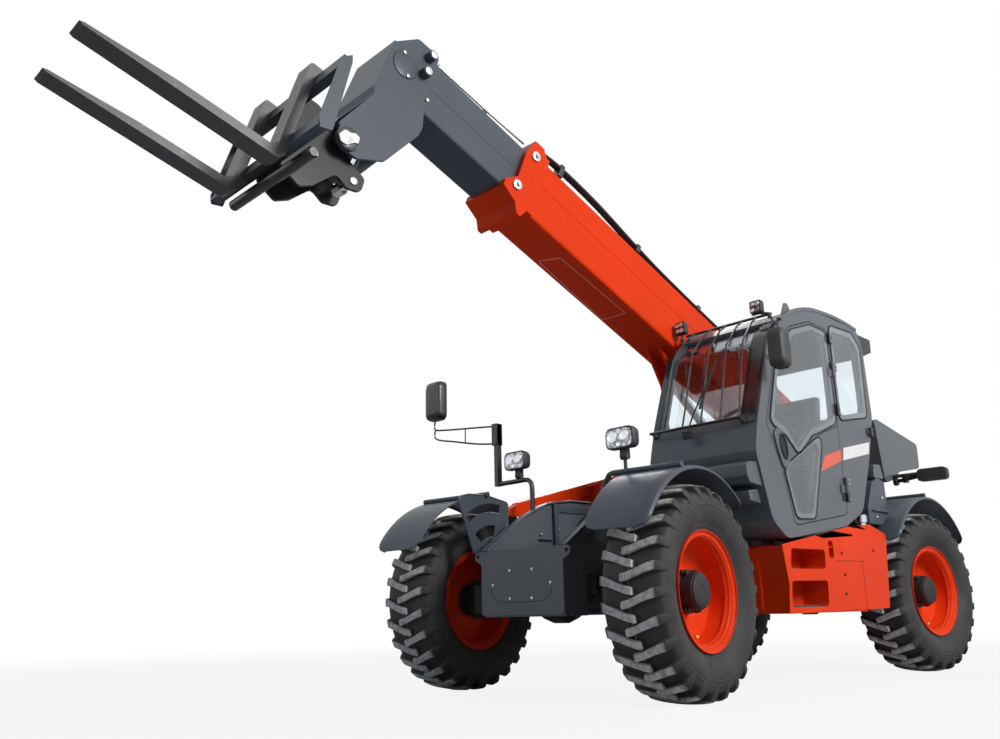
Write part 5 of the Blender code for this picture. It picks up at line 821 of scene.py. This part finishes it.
# Cab trim
DOOR_UPPER = cab([
    (0.636, 0.85), (0.47, 0.905), (0.364, 0.895), (0.364, 0.53), (0.52, 0.465), (0.57, 0.452), (0.69, 0.36),
    (0.765, 0.435), (0.85, 0.462), (0.79, 0.66)])
DOOR_LOWER = cab([(0.496, 0.435), (0.626, 0.105), (0.738, 0.1), (0.792, 0.276)])
QUARTER = cab([(0.3, 0.93), (0.128, 0.935), (0.067, 0.885), (0.078, 0.59), (0.3, 0.545)])
RIGHT_PANE = cab([
    (0.64, 0.88), (0.11, 0.925), (0.075, 0.86), (0.07, 0.59), (0.3, 0.52), (0.9, 0.48), (0.79, 0.79)])
UPPER_FRIT = cab([
    (0.882, 0.448), (0.822, 0.628), (0.776, 0.774), (0.648, 0.868), (0.49, 0.921), (0.352, 0.914),
    (0.352, 0.508), (0.52, 0.446), (0.566, 0.432), (0.69, 0.338), (0.77, 0.405)])
LOWER_FRIT = cab([(0.478, 0.452), (0.612, 0.088), (0.752, 0.082), (0.81, 0.274)])
QUARTER_FRIT = cab([(0.318, 0.955), (0.11, 0.958), (0.046, 0.9), (0.056, 0.572), (0.318, 0.524)])
RIGHT_FRIT = cab([
    (0.66, 0.9), (0.1, 0.945), (0.055, 0.87), (0.05, 0.57), (0.3, 0.498), (0.925, 0.462), (0.805, 0.8)])
WINDOWS = (
    # name, body, border, pane, face of the wall, outward direction, replaced node
    ("door_upper", "door", UPPER_FRIT, DOOR_UPPER, 1.0485, 1, "door_glass_upper"),
    ("door_lower", "door", LOWER_FRIT, DOOR_LOWER, 1.0485, 1, "door_glass_lower"),
    ("quarter", "chassis", QUARTER_FRIT, QUARTER, 1.0485, 1, "quarter_glass"),
    ("right", "chassis", RIGHT_FRIT, RIGHT_PANE, 0.2065, -1, "side_glass_right"))
for name, body, outer, inner, wall, out, node in WINDOWS:
    edge, hole = rounded(outer, 0.06, 8), rounded(inner, 0.045, 8)
    border, rim, seal, pane = (
        [wall + out * depth for depth in pair]
        for pair in ((0.0, 0.0045), (0.0, 0.0081), (-0.0185, 0.002), (0.0049, 0.0079)))
    put(f"{name}_border", body, "border", [holed_plate(edge, [hole], *border)])
    put(f"{name}_border_rim", body, "seal", [ring_plate(grown(edge, 0.01), 0.011, *rim)])
    put(f"{name}_border_seal", body, "seal", [ring_plate(hole, 0.004, *seal)])
    put(f"{name}_pane", body, "glass", [plate(edge, *pane)], replaces=[node])


def ribbon(points, low, high, inner, outer):
    """A strip along a smooth side-view curve: a rectangle of (y, distance from the curve) carried along it."""
    path = smooth_path(np.insert(np.asarray(points, float), 1, 0.0, axis=1), 40)[:, ::2]
    ahead = np.gradient(path, axis=0)
    ahead /= np.linalg.norm(ahead, axis=1)[:, None]
    outward = np.stack([ahead[:, 1], -ahead[:, 0]], -1) * np.sign(np.sum(ahead * (-0.7, 0.7), axis=1)).mean()
    rows = [(low, inner), (low, outer), (high, outer), (high, inner)]
    return skin(levels(*((path + outward * off, y) for y, off in rows)).swapaxes(0, 1))


EDGE = cab([
    (0.972, 0.44), (0.955, 0.495), (0.908, 0.62), (0.862, 0.735), (0.826, 0.812), (0.77, 0.862), (0.7, 0.908)])
put("front_pillars", "chassis", "frit", [
    ribbon(EDGE, low, high, -0.004, 0.004) for low, high in ((0.925, 1.03), (0.212, 0.256))])
ROOF = [
    (-0.838, 2.448), (-1.006, 2.538), (-1.16, 2.588), (-1.322, 2.617), (-1.585, 2.626), (-1.8, 2.616),
    (-1.985, 2.592)]
put("roof_cap", "chassis", "grey_paint", [
    ribbon(ROOF, 0.225, 1.03, -0.03, -0.006),
    *(ribbon(ROOF, low, high, -0.022, 0.006) for low, high in ((1.02, 1.054), (0.2, 0.23)))], 0.003)

seam = [(-0.668, 1.39), (-0.72, 1.412), (-0.8, 1.437), (-0.85, 1.462), (-1.0, 1.552), (-1.221, 1.667),
        (-1.38, 1.722), (-1.488, 1.76)]
put("door_seam", "door", "seal", [tube([(x, CAB_FACE, z) for x, z in seam], 40, 0.0035, 6)])
centre, tall, wide, slant = np.array([-0.69, 1.525]), 0.088, 0.042, 0.18
t = np.linspace(0.0, 2 * np.pi, 40, endpoint=False)
oval = centre + np.stack([wide * np.cos(t) + slant * tall * np.sin(t), tall * np.sin(t)], -1)
put("door_pull_ring", "door", "seal", [
    ring_plate(oval, 0.013, CAB_FACE + 0.006, CAB_FACE + 0.02),
    plate(oval * 0.98 + centre * 0.02, CAB_FACE + 0.006, CAB_FACE + 0.0135)], 0.003)
put("door_knobs", "door", "black_plastic", [
    turned(((-0.004, 0.016), (0.01, 0.016), (0.014, 0.011)), (x, 1.0365, z), ACROSS, 20)
    for x, z in ((-0.875, 1.652), (-0.935, 1.545), (-1.13, 1.69))])
put("door_latch", "chassis", "black_plastic", [
    box((-2.01, 1.045, 1.735), (-1.975, 1.078, 1.805)), box((-1.99, 1.045, 1.75), (-1.95, 1.062, 1.79))], 0.003)
HINGES, COVERS = (1.215, 1.84, 2.385), (1.33, 2.18)
put("hinge_covers", "chassis", "black_steel", [
    *(box((-1.565, 1.055, z + 0.002), (-1.512, 1.0625, z + 0.053)) for z in COVERS),
    *(box((-1.556, 1.048, z), (-1.508, 1.058, z + 0.085)) for z in HINGES),
    *(turned(((0.0, 0.011), (0.085, 0.011)), (-1.4994, 1.066, z), UP, 16) for z in HINGES)], 0.002)
put("door_hinge_leaves", "door", "black_steel", [
    box((-1.492, 1.048, z + 0.005), (-1.445, 1.0575, z + 0.08)) for z in HINGES], 0.002)
for name, look, body, outline in (
        ("white_stripe", "white", "chassis",
         ((-1.546, 1.605), (-1.967, 1.692), (-1.942, 1.601), (-1.523, 1.513))),
        ("orange_patch", "patch", "door", ((-1.259, 1.519), (-1.5, 1.588), (-1.498, 1.507), (-1.176, 1.4)))):
    put(name, body, look, [plate(outline, CAB_FACE - 0.001, CAB_FACE + 0.0006)])
fairing = cab([(0.8, 0.41), (0.845, 0.43), (0.868, 0.4), (0.85, 0.34), (0.825, 0.285), (0.8, 0.262),
               (0.77, 0.3), (0.762, 0.36)])
ledge = [(-0.44, 1.245), (-0.29, 1.262), (-0.262, 1.3), (-0.262, 1.372), (-0.3, 1.395), (-0.42, 1.4)]
under_ledge = [(-0.47, 1.14), (-0.33, 1.155), (-0.315, 1.215), (-0.44, 1.235)]
visor = [(-2.02, 2.405), (-2.135, 2.405), (-2.285, 2.462), (-2.29, 2.568), (-1.96, 2.58)]
ear = [(-1.06, 2.5), (-0.89, 2.47), (-0.955, 2.592), (-0.995, 2.592)]
hood_tip = [(0.186, 1.161), (0.186, 1.257), (0.345, 1.166)]
side_box = [(-2.112, 1.544), (-2.219, 1.549), (-2.25, 1.44), (-2.086, 1.44)]
for name, body, look, bevel, *plates in (
        # each plate: outline, corner radius, points in a corner, its two depths
        ("door_pull_fairing", "door", "grey_paint", 0.004,
         (fairing, 0.03, 4, CAB_FACE - 0.001, CAB_FACE + 0.012)),
        ("cowl_ledge", "chassis", "grey_paint", 0.004,
         (ledge, 0.012, 4, 0.215, 1.035), (under_ledge, 0.012, 4, 0.215, 1.0)),
        ("roof_visor", "chassis", "black_plastic", 0.003, (visor, 0.008, 3, 0.24, 1.015)),
        ("lifting_ear", "chassis", "grey_paint", 0.002, (ear, 0.02, 4, 1.018, 1.03)),
        ("hood_tip", "hood", "orange_paint", 0.003, (hood_tip, 0.006, 3, -0.618, -0.552)),
        ("side_box", "chassis", "grey_paint", 0.004, (side_box, 0.012, 3, 0.9, 1.0))):
    put(name, body, look, [plate(rounded(*corners), low, high) for *corners, low, high in plates], bevel)
blade = [(-0.33, 0.56, 1.64), (-0.352, 0.6, 1.76), (-0.4, 0.69, 1.96), (-0.428, 0.72, 2.06)]
arm = [(-0.352, 0.66, 1.8), (-0.4, 0.715, 1.99), (-0.452, 0.76, 2.14)]
put("wiper", "chassis", "seal", [
    tube(blade, 16, 0.006, 8), tube(arm, 14, 0.009, 8), box((-0.35, 0.525, 1.61), (-0.32, 0.595, 1.66))], 0.002)


# Seat: crowned cushion and back with bolsters
BOLSTER, CROSS_SEAM, SEAM_WIDTH = 0.58, 0.45, 0.035


def pad(centre, right, up, out, width, height, depth, crown):
    """A cushion as a grid on a rounded box, with a bolster on each side and sewn channels.

    Its depth falls off towards the edges by the root of (1 - u^6)(1 - v^6), and its middle is raised by
    crown (1 - u^2)(1 - v^2). Each channel is a narrow bell curve, taken off the depth.
    """
    u, v = np.meshgrid(np.linspace(-1, 1, 41), np.linspace(-1, 1, 41), indexing="ij")
    rise = ((1 - u ** 6) * (1 - v ** 6)) ** 0.5
    beside, ahead = np.abs(u) - BOLSTER, np.abs(v) - CROSS_SEAM
    channel = np.exp(-(beside / SEAM_WIDTH) ** 2) + np.exp(-(ahead / SEAM_WIDTH) ** 2) * (beside < 0)
    bolster = np.clip(beside / (1 - BOLSTER), 0, 1) * 0.35
    face = depth * rise * (0.75 + bolster + crown * (1 - u ** 2) * (1 - v ** 2)) - 0.012 * channel * rise
    x = 0.5 * width * u * (1 - 0.06 * v ** 2)
    y = 0.5 * height * v * (1 - 0.06 * u ** 2)
    right, up, out = (np.asarray(a, float) for a in (right, up, out))
    flat = np.asarray(centre) + x[..., None] * right + y[..., None] * up
    top, low = flat + face[..., None] * out, flat - 0.3 * (depth * rise)[..., None] * out
    n = top.shape[0]
    points = np.vstack([top.reshape(-1, 3), low.reshape(-1, 3)])
    faces = quads(n, n, False, False)
    faces += [[i + n * n for i in f[::-1]] for f in faces]
    edge = np.concatenate([
        np.arange(n), n * np.arange(1, n) + n - 1, n * n - 2 - np.arange(n - 1), n * np.arange(n - 2, 0, -1)])
    after = np.roll(edge, -1)
    faces += np.stack([edge, edge + n * n, after + n * n, after], -1).tolist()
    return points, faces


lean = np.array([-0.195, 0.0, 0.981])
seat = [pad((-1.235, 0.63, 1.445), ACROSS, AHEAD, UP, 0.46, 0.46, 0.075, 0.12),
        pad((-1.56, 0.63, 1.775), ACROSS, lean, (0.981, 0.0, 0.195), 0.46, 0.52, 0.075, 0.12)]
cushion = put("seat_cushion", "chassis", "cloth", seat[:1], replaces=["driver_seat"], angle=80)
backrest = put("seat_back", "chassis", "cloth", seat[1:], angle=80)
put("seat_base", "chassis", "black_plastic", [
    box((-1.45, 0.4, 1.385), (-1.0, 0.86, 1.425)), box((-1.44, 0.51, 0.972), (-1.22, 0.75, 1.39)),
    plate(rounded([(-1.56, 1.4), (-1.47, 1.4), (-1.59, 2.03), (-1.66, 2.03)], 0.02, 3), 0.405, 0.855)], 0.006)


# Bolts and screws: name, outward direction, radius, height, washer, places
for name, axis, radius, height, washer, places in (
        ("hinge_bolts", ACROSS, 0.005, 0.004, 1.7, [
            (-1.55, 1.0625, z + dz) for z in COVERS for dz in (0.014, 0.041)]),
        ("hinge_screws", ACROSS, 0.006, 0.004, 1.3, [
            (-1.535, 1.058, z + dz) for z in HINGES for dz in (0.018, 0.066)]),
        ("nose_bolts", AHEAD, 0.006, 0.004, 1.4, [(NOSE_FACE + 0.0001, y, z) for y, z in (
            (-0.098, 0.76), (0.098, 0.76), (-0.254, 0.676), (0.252, 0.676), (-0.1, 0.59), (0.092, 0.59))]),
        ("nose_screws", ACROSS, 0.008, 0.006, 1.3, [
            (x, -0.331, z) for x, z in ((0.19, 1.02), (0.01, 1.06), (-0.32, 1.202))]),
        ("side_screws", ACROSS, 0.008, 0.006, 1.4, [(-2.18, 1.0, 1.29), (-2.06, 1.0, 1.14)])):
    put(name, "chassis", "zinc", bolts(places, axis, radius, height, washer))

# Groove in the plate at the nose, and the tank with its neck and two steps
groove = [(-0.272, 0.65), (-0.262, 0.615), (-0.235, 0.59), (-0.18, 0.572), (0.0, 0.568), (0.165, 0.572),
          (0.225, 0.59), (0.252, 0.615), (0.262, 0.65)]
put("nose_groove", "chassis", "seal", [tube([(NOSE_FACE, y, z) for y, z in groove], 60, 0.0022, 6)])
neck = ((0.905, 0.0315), (1.09, 0.0315), (1.094, 0.0425), (1.14, 0.0425), (1.148, 0.036))
put("filler_neck", "chassis", "zinc", [turned(neck, (-1.875, 0.96, 0.0), UP, 28)])
TANK_SIDE = rounded([
    (-0.582, 0.46), (-0.61, 0.64), (-0.566, 0.886), (-1.0, 0.958), (-1.471, 1.038), (-1.8, 1.068),
    (-2.046, 1.008), (-2.012, 0.75), (-1.972, 0.48)], 0.02, 4)
STEPS = [rounded([(-1.092, 0.742), (-1.108, 0.868), (-0.672, 0.866), (-0.648, 0.736)], 0.03, 5),
         rounded([(-1.084, 0.5), (-1.106, 0.668), (-0.645, 0.662), (-0.62, 0.498)], 0.03, 5)]
SLOT = oblong((-1.192, 0.872), 0.066, 0.12, 0.03, 6)
body_side = [(-2.016, 0.462), (-0.592, 0.462), (-0.578, 0.875), (-0.66, 0.9), (-1.7, 0.908), (-2.016, 0.905)]
walls = (
    [(-1.64, 0.462), (-0.592, 0.462), (-0.592, 0.47), (-1.64, 0.47)],
    [(-0.604, 0.47), (-0.592, 0.47), (-0.612, 0.64), (-0.576, 0.878), (-0.588, 0.878), (-0.624, 0.64)],
    [(-0.575, 0.88), (-1.62, 0.904), (-1.62, 0.896), (-0.575, 0.87)])
put("tank_dress", "chassis", "orange_paint", [
    holed_plate(TANK_SIDE, [*STEPS, SLOT], 1.04, TANK_FACE), *(pocket(step, 1.045, 0.86) for step in STEPS),
    pocket(SLOT, 1.045, 0.95), plate(body_side, 0.38, 0.858), *(plate(wall, 0.85, 1.045) for wall in walls)],
    0.0015, replaces=["step_tank"])
spots = [(x, TANK_FACE, z) for x, z in ((-1.351, 0.707), (-1.338, 0.58), (-1.815, 0.883), (-1.335, 0.85))]
put("tank_bolts", "chassis", "seal", bolts(spots, ACROSS, 0.008, 0.006, 1.5))
line = [(x, TANK_FACE - 0.0003, z) for x, z in ((-1.247, 0.799), (-1.61, 0.8), (-1.626, 0.78), (-1.62, 0.47))]
put("tank_line", "chassis", "seal", [tube(line, 40, 0.002, 6)])
TREADS = (0.729, 0.497)
put("step_treads", "chassis", "black_steel", [
    *(box((-1.085, 0.868, z), (-0.657, 1.044, z + 0.006)) for z in TREADS),
    *(box((-1.085, 0.868 + i * 0.024, z + 0.006), (-0.657, 0.88 + i * 0.024, z + 0.013))
      for z in TREADS for i in range(7))], 0.001)

# Boom, its head and the carriage, in their own frames: pins, screws and seams on both sides
COLLAR_PIN = ((0.0, 0.036), (0.014, 0.036), (0.016, 0.03), (0.016, 0.016), (0.022, 0.014), (0.03, 0.013),
              (0.03, 0.001))
HEAD_COVER = ((-0.001, 0.091), (0.004, 0.091), (0.005, 0.088), (0.005, 0.001))
HEAD_GROOVE = ((-0.001, 0.0945), (0.0012, 0.0945), (0.0012, 0.0912), (-0.001, 0.0912))
HEAD_SCREW = ((0.0, 0.012), (0.008, 0.012), (0.01, 0.009), (0.01, 0.001))
PIVOT_BOSS = ((-0.002, 0.066), (0.004, 0.066), (0.006, 0.06), (0.006, 0.04), (-0.002, 0.04))
KEEPER = rounded([
    (5.185, -0.83), (5.15, -0.868), (5.098, -0.86), (5.055, -0.8), (5.03, -0.79), (5.036, -0.735),
    (5.08, -0.728), (5.11, -0.752), (5.16, -0.762)], 0.02, 4)
KEEPER_MIDDLE, KEEPER_SHARE = np.array([5.105, -0.795]), 0.82
for hand, side in (("left", 1), ("right", -1)):
    out = (0.0, side, 0.0)
    put(f"collar_pins_{hand}", "boom", "zinc", [
        turned(COLLAR_PIN, (s, side * 0.1925, n), out, 28) for s, n in ((3.866, 0.181), (3.935, -0.139))])
    s, n = HEAD_PIN
    spot = (s, side * HEAD_PLATE, n)
    put(f"head_cover_{hand}", "extension", "slate_paint", [turned(HEAD_COVER, spot, out, 48)], 0.001)
    put(f"head_groove_{hand}", "extension", "seal", [turned(HEAD_GROOVE, spot, out, 48, ring=True)])
    put(f"head_screws_{hand}", "extension", "zinc", [
        turned(HEAD_SCREW, (s, side * (HEAD_PLATE + 0.004), n), out, 16)
        for s, n in ((5.022, 0.03), (4.94, -0.1), (4.762, -0.14))])
    tip = side * 0.2235
    keeper = KEEPER_MIDDLE + KEEPER_SHARE * (KEEPER - KEEPER_MIDDLE)
    put(f"pivot_keeper_{hand}", "extension", "dull_steel", [plate(keeper, tip, tip + side * 0.008)], 0.002)
    put(f"pivot_boss_{hand}", "extension", "black_steel", [
        turned(PIVOT_BOSS, (5.105, tip - side * 0.004, -0.79), out, 36, ring=True)])
    for name, body, look, first, last, y, n, radius in (
            ("outer_seam", "boom", "orange_paint", 0.8, 3.74, 0.1637, 0.04, 0.0025),
            ("inner_seam", "extension", "slate_paint", 2.0, 4.78, 0.1477, 0.01, 0.002)):
        put(f"{name}_{hand}", body, look, [
            swept([(s, side * y, n) for s in np.linspace(first, last, 12)], radius, 6)])
put("head_pin_caps", "extension", "zinc", [
    turned(((0.0, 0.026), (0.006, 0.026), (0.008, 0.022), (0.008, 0.001)), (s, 0.25, n), ACROSS, 24)
    for s, n in ((4.86, 0.15), (4.85, 0.01))])
tilt_cap = ((0.0, 0.024), (0.006, 0.024), (0.008, 0.02), (0.008, 0.001))
put("tilt_pin_caps", "fork_carriage", "zinc", [
    turned(tilt_cap, (-0.15, side * 0.1342, -0.165), (0.0, side, 0.0), 24) for side in (1, -1)])
put("cross_tube", "fork_carriage", "black_steel", [
    turned(((-0.43, 0.024), (-0.42, 0.032), (0.42, 0.032), (0.43, 0.024)), (0.24, 0.0, -0.38), ACROSS, 28)])

# Boom: hoses and pipe along its top, blank outlined panel below
hose = [(3.9, 0.262), (3.78, 0.3), (3.6, 0.322), (3.2, 0.322), (2.7, 0.282), (2.25, 0.262), (1.2, 0.258)]
put("boom_hoses", "boom", "seal", [tube([(s, y, n) for s, n in hose], 40, 0.013, 10) for y in (0.15, 0.118)])
put("hose_clamps", "boom", "black_steel", [
    box((s - 0.02, 0.098, 0.24), (s + 0.02, 0.17, n)) for s, n in ((3.6, 0.345), (2.7, 0.305), (1.9, 0.282))],
    0.003)
put("boom_pipe", "extension", "zinc", [
    swept([(4.74, 0.095, 0.268), (4.3, 0.095, 0.28), (3.93, 0.095, 0.302)], 0.009, 12)])
put("pipe_stays", "extension", "black_steel", [
    box((s - 0.015, 0.07, 0.15), (s + 0.015, 0.1, n)) for s, n in ((4.73, 0.282), (4.3, 0.292))], 0.003)
panel = rounded([(3.36, -0.118), (3.31, 0.062), (2.59, 0.088), (2.6, -0.14)], 0.02, 3)
put("boom_panel", "boom", "patch_line", [holed_plate(panel, [grown(panel, -0.006)], -0.2432, -0.2415, "xy")])

# Nose of the frame: flanges on the walls and a post; on the inner face a painted shadow, and a slot painted as a
# black strip of shade
SLOPE = np.array([(-0.33, 1.263), (-0.1, 1.262), (0.125, 1.229), (0.348, 1.128), (0.52, 1.012), (0.677, 0.905),
                  (0.698, 0.889)])
flanges = [ribbon(SLOPE[::-1], low, high, -0.002, 0.007) for low, high in ((-0.38, -0.326), (0.326, 0.374))]
beads = [swept(np.insert(SLOPE + (0.002, 0.004), 1, y, axis=1), 0.006, 8)
    for y in (-0.38, -0.326, 0.326, 0.374)]
put("nose_flanges", "chassis", "slate_paint", [*flanges, *beads], 0.001)
put("nose_post", "chassis", "slate_paint", [
    box((0.03, NOSE_WALL, 0.88), (0.072, -0.312, 1.235)), box((-0.33, NOSE_WALL, 1.18), (0.03, -0.33, 1.225))],
    0.003)
# The black quarter disc on the far wall's inner face is painted shadow; the thin black strip below it is the
# shaded inside of a slot, painted.
corner = (-0.4, 0.9)
painted_shadow_quarter = np.vstack([arc(corner, 0.3, 0.0, 90.0, 24), [corner]])
put("nose_painted_shadow", "chassis", "black_steel", [
    plate(painted_shadow_quarter, NOSE_WALL, -0.331), box((0.09, NOSE_WALL, 0.975), (0.215, -0.333, 0.988))], 0.001)

# Space between cab and rear wheel, and the arms of the rear lamps
screen = rounded([(-1.93, 1.085), (-2.14, 1.085), (-2.25, 1.17), (-2.25, 1.42), (-2.13, 1.44), (-2.04, 1.4),
                  (-1.93, 1.2)], 0.01, 3)
put("side_shield", "chassis", "slate_paint", [
    plate(screen, 0.5, 1.0), box((-2.25, 0.985, 1.18), (-1.99, 1.02, 1.192))], 0.003)
ARM_X = -3.12
for hand, side in (("left", 1), ("right", -1)):
    arm = [(ARM_X, side * y, z) for y, z in ((0.701, 1.522), (0.82, 1.535), (0.93, 1.548))]
    put(f"lamp_arm_{hand}", "chassis", "black_steel", [
        swept(arm, 0.016, 12),
        turned(((0.0, 0.034), (0.03, 0.034), (0.034, 0.028)), arm[0], (0.0, side, 0.0), 24),
        box((ARM_X - 0.025, side * 0.8 - 0.02, 1.505), (ARM_X + 0.025, side * 0.8 + 0.02, 1.565))], 0.002)


# Stage, lamps and camera
WHITE, FLOOR_HALF = (1.0, 1.0, 1.0), 40.0


def stage():
    """A pale floor that keeps the shadow; seen from afar or by the camera it glows like the white around it."""
    s = Surface("pale_floor")
    path = s.node("ShaderNodeLightPath")
    x, y, _ = s.axes()
    far = ((x * x + y * y) ** 0.5).step(5.0, 12.0)
    diffuse = s.node("ShaderNodeBsdfDiffuse", None, (0.5, 0.5, 0.5))
    glow = s.node("ShaderNodeEmission", None, WHITE, 1.0)
    s.out(s.node("ShaderNodeMixShader", None, path * (far * 0.12 + 0.88), diffuse, glow))
    corners = np.array([(-1, -1, 0), (1, -1, 0), (1, 1, 0), (-1, 1, 0)]) * FLOOR_HALF
    mesh = bpy.data.meshes.new("floor")
    mesh.from_pydata(corners, [], [(0, 1, 2, 3)])
    mesh.materials.append(s.material)
    floor = bpy.data.objects.new("floor", mesh)
    bpy.context.scene.collection.objects.link(floor)


def world():
    """Plain light from all sides; the camera, gloss and glass see white."""
    sky = bpy.context.scene.world = bpy.data.worlds.new("studio")
    s = Surface("studio", sky)
    seen, gloss, through = (
        s.node("ShaderNodeLightPath", out=f"Is {ray} Ray") for ray in ("Camera", "Glossy", "Transmission"))
    share = s.node("ShaderNodeMath", {"operation": "MAXIMUM"}, seen.sum("MAXIMUM", seen, gloss), through)
    soft = s.node("ShaderNodeBackground", None, (0.76, 0.87, 1.0), 0.24)
    white = s.node("ShaderNodeBackground", None, WHITE, 1.0)
    s.node("ShaderNodeOutputWorld", None, s.node("ShaderNodeMixShader", None, share, soft, white))


def area(name, place, aim, size, power, colour=WHITE):
    light = bpy.data.lights.new(name, "AREA")
    light.size, light.energy, light.color = size, power, colour
    lamp = bpy.data.objects.new(name, light)
    lamp.location = place
    lamp.rotation_euler = (Vector(aim) - Vector(place)).to_track_quat("-Z", "Y").to_euler()
    bpy.context.scene.collection.objects.link(lamp)


def camera(place, heading, focal, shift):
    """The photograph's view: its place, its yaw, rise and roll in degrees, its focal length and its shift."""
    lens = bpy.data.cameras.new("photo_view")
    lens.sensor_width, lens.lens, lens.sensor_fit = 36.0, focal, "HORIZONTAL"
    lens.shift_x, lens.shift_y = shift
    yaw, rise, roll = np.radians(heading)
    ahead = Vector((np.cos(yaw) * np.cos(rise), np.sin(yaw) * np.cos(rise), np.sin(rise)))
    right = ahead.cross(Vector(UP)).normalized()
    up = right.cross(ahead)
    right, up = np.cos(roll) * right + np.sin(roll) * up, np.cos(roll) * up - np.sin(roll) * right
    eye = bpy.data.objects.new("photo_view", lens)
    eye.matrix_world = Matrix.Translation(place) @ Matrix((right, up, -ahead)).transposed().to_4x4()
    bpy.context.scene.collection.objects.link(eye)
    bpy.context.scene.camera = eye


stage()
world()
area("key", (-1.0, 9.0, 6.0), (-1.0, 0.3, 1.4), 3.0, 800, (1.0, 0.97, 0.94))
area("front_fill", (9.0, -2.0, 5.0), (-1.0, 0.0, 1.6), 4.0, 70, (0.84, 0.92, 1.0))
area("back_fill", (-7.0, -6.0, 6.0), (-1.0, 0.0, 1.4), 4.0, 350)
camera((4.7384, 4.1374, 0.5066), (226.273, 15.128, -1.304), 32.973, (-0.009, -0.0045))
bpy.context.scene.view_settings.view_transform = "Standard"
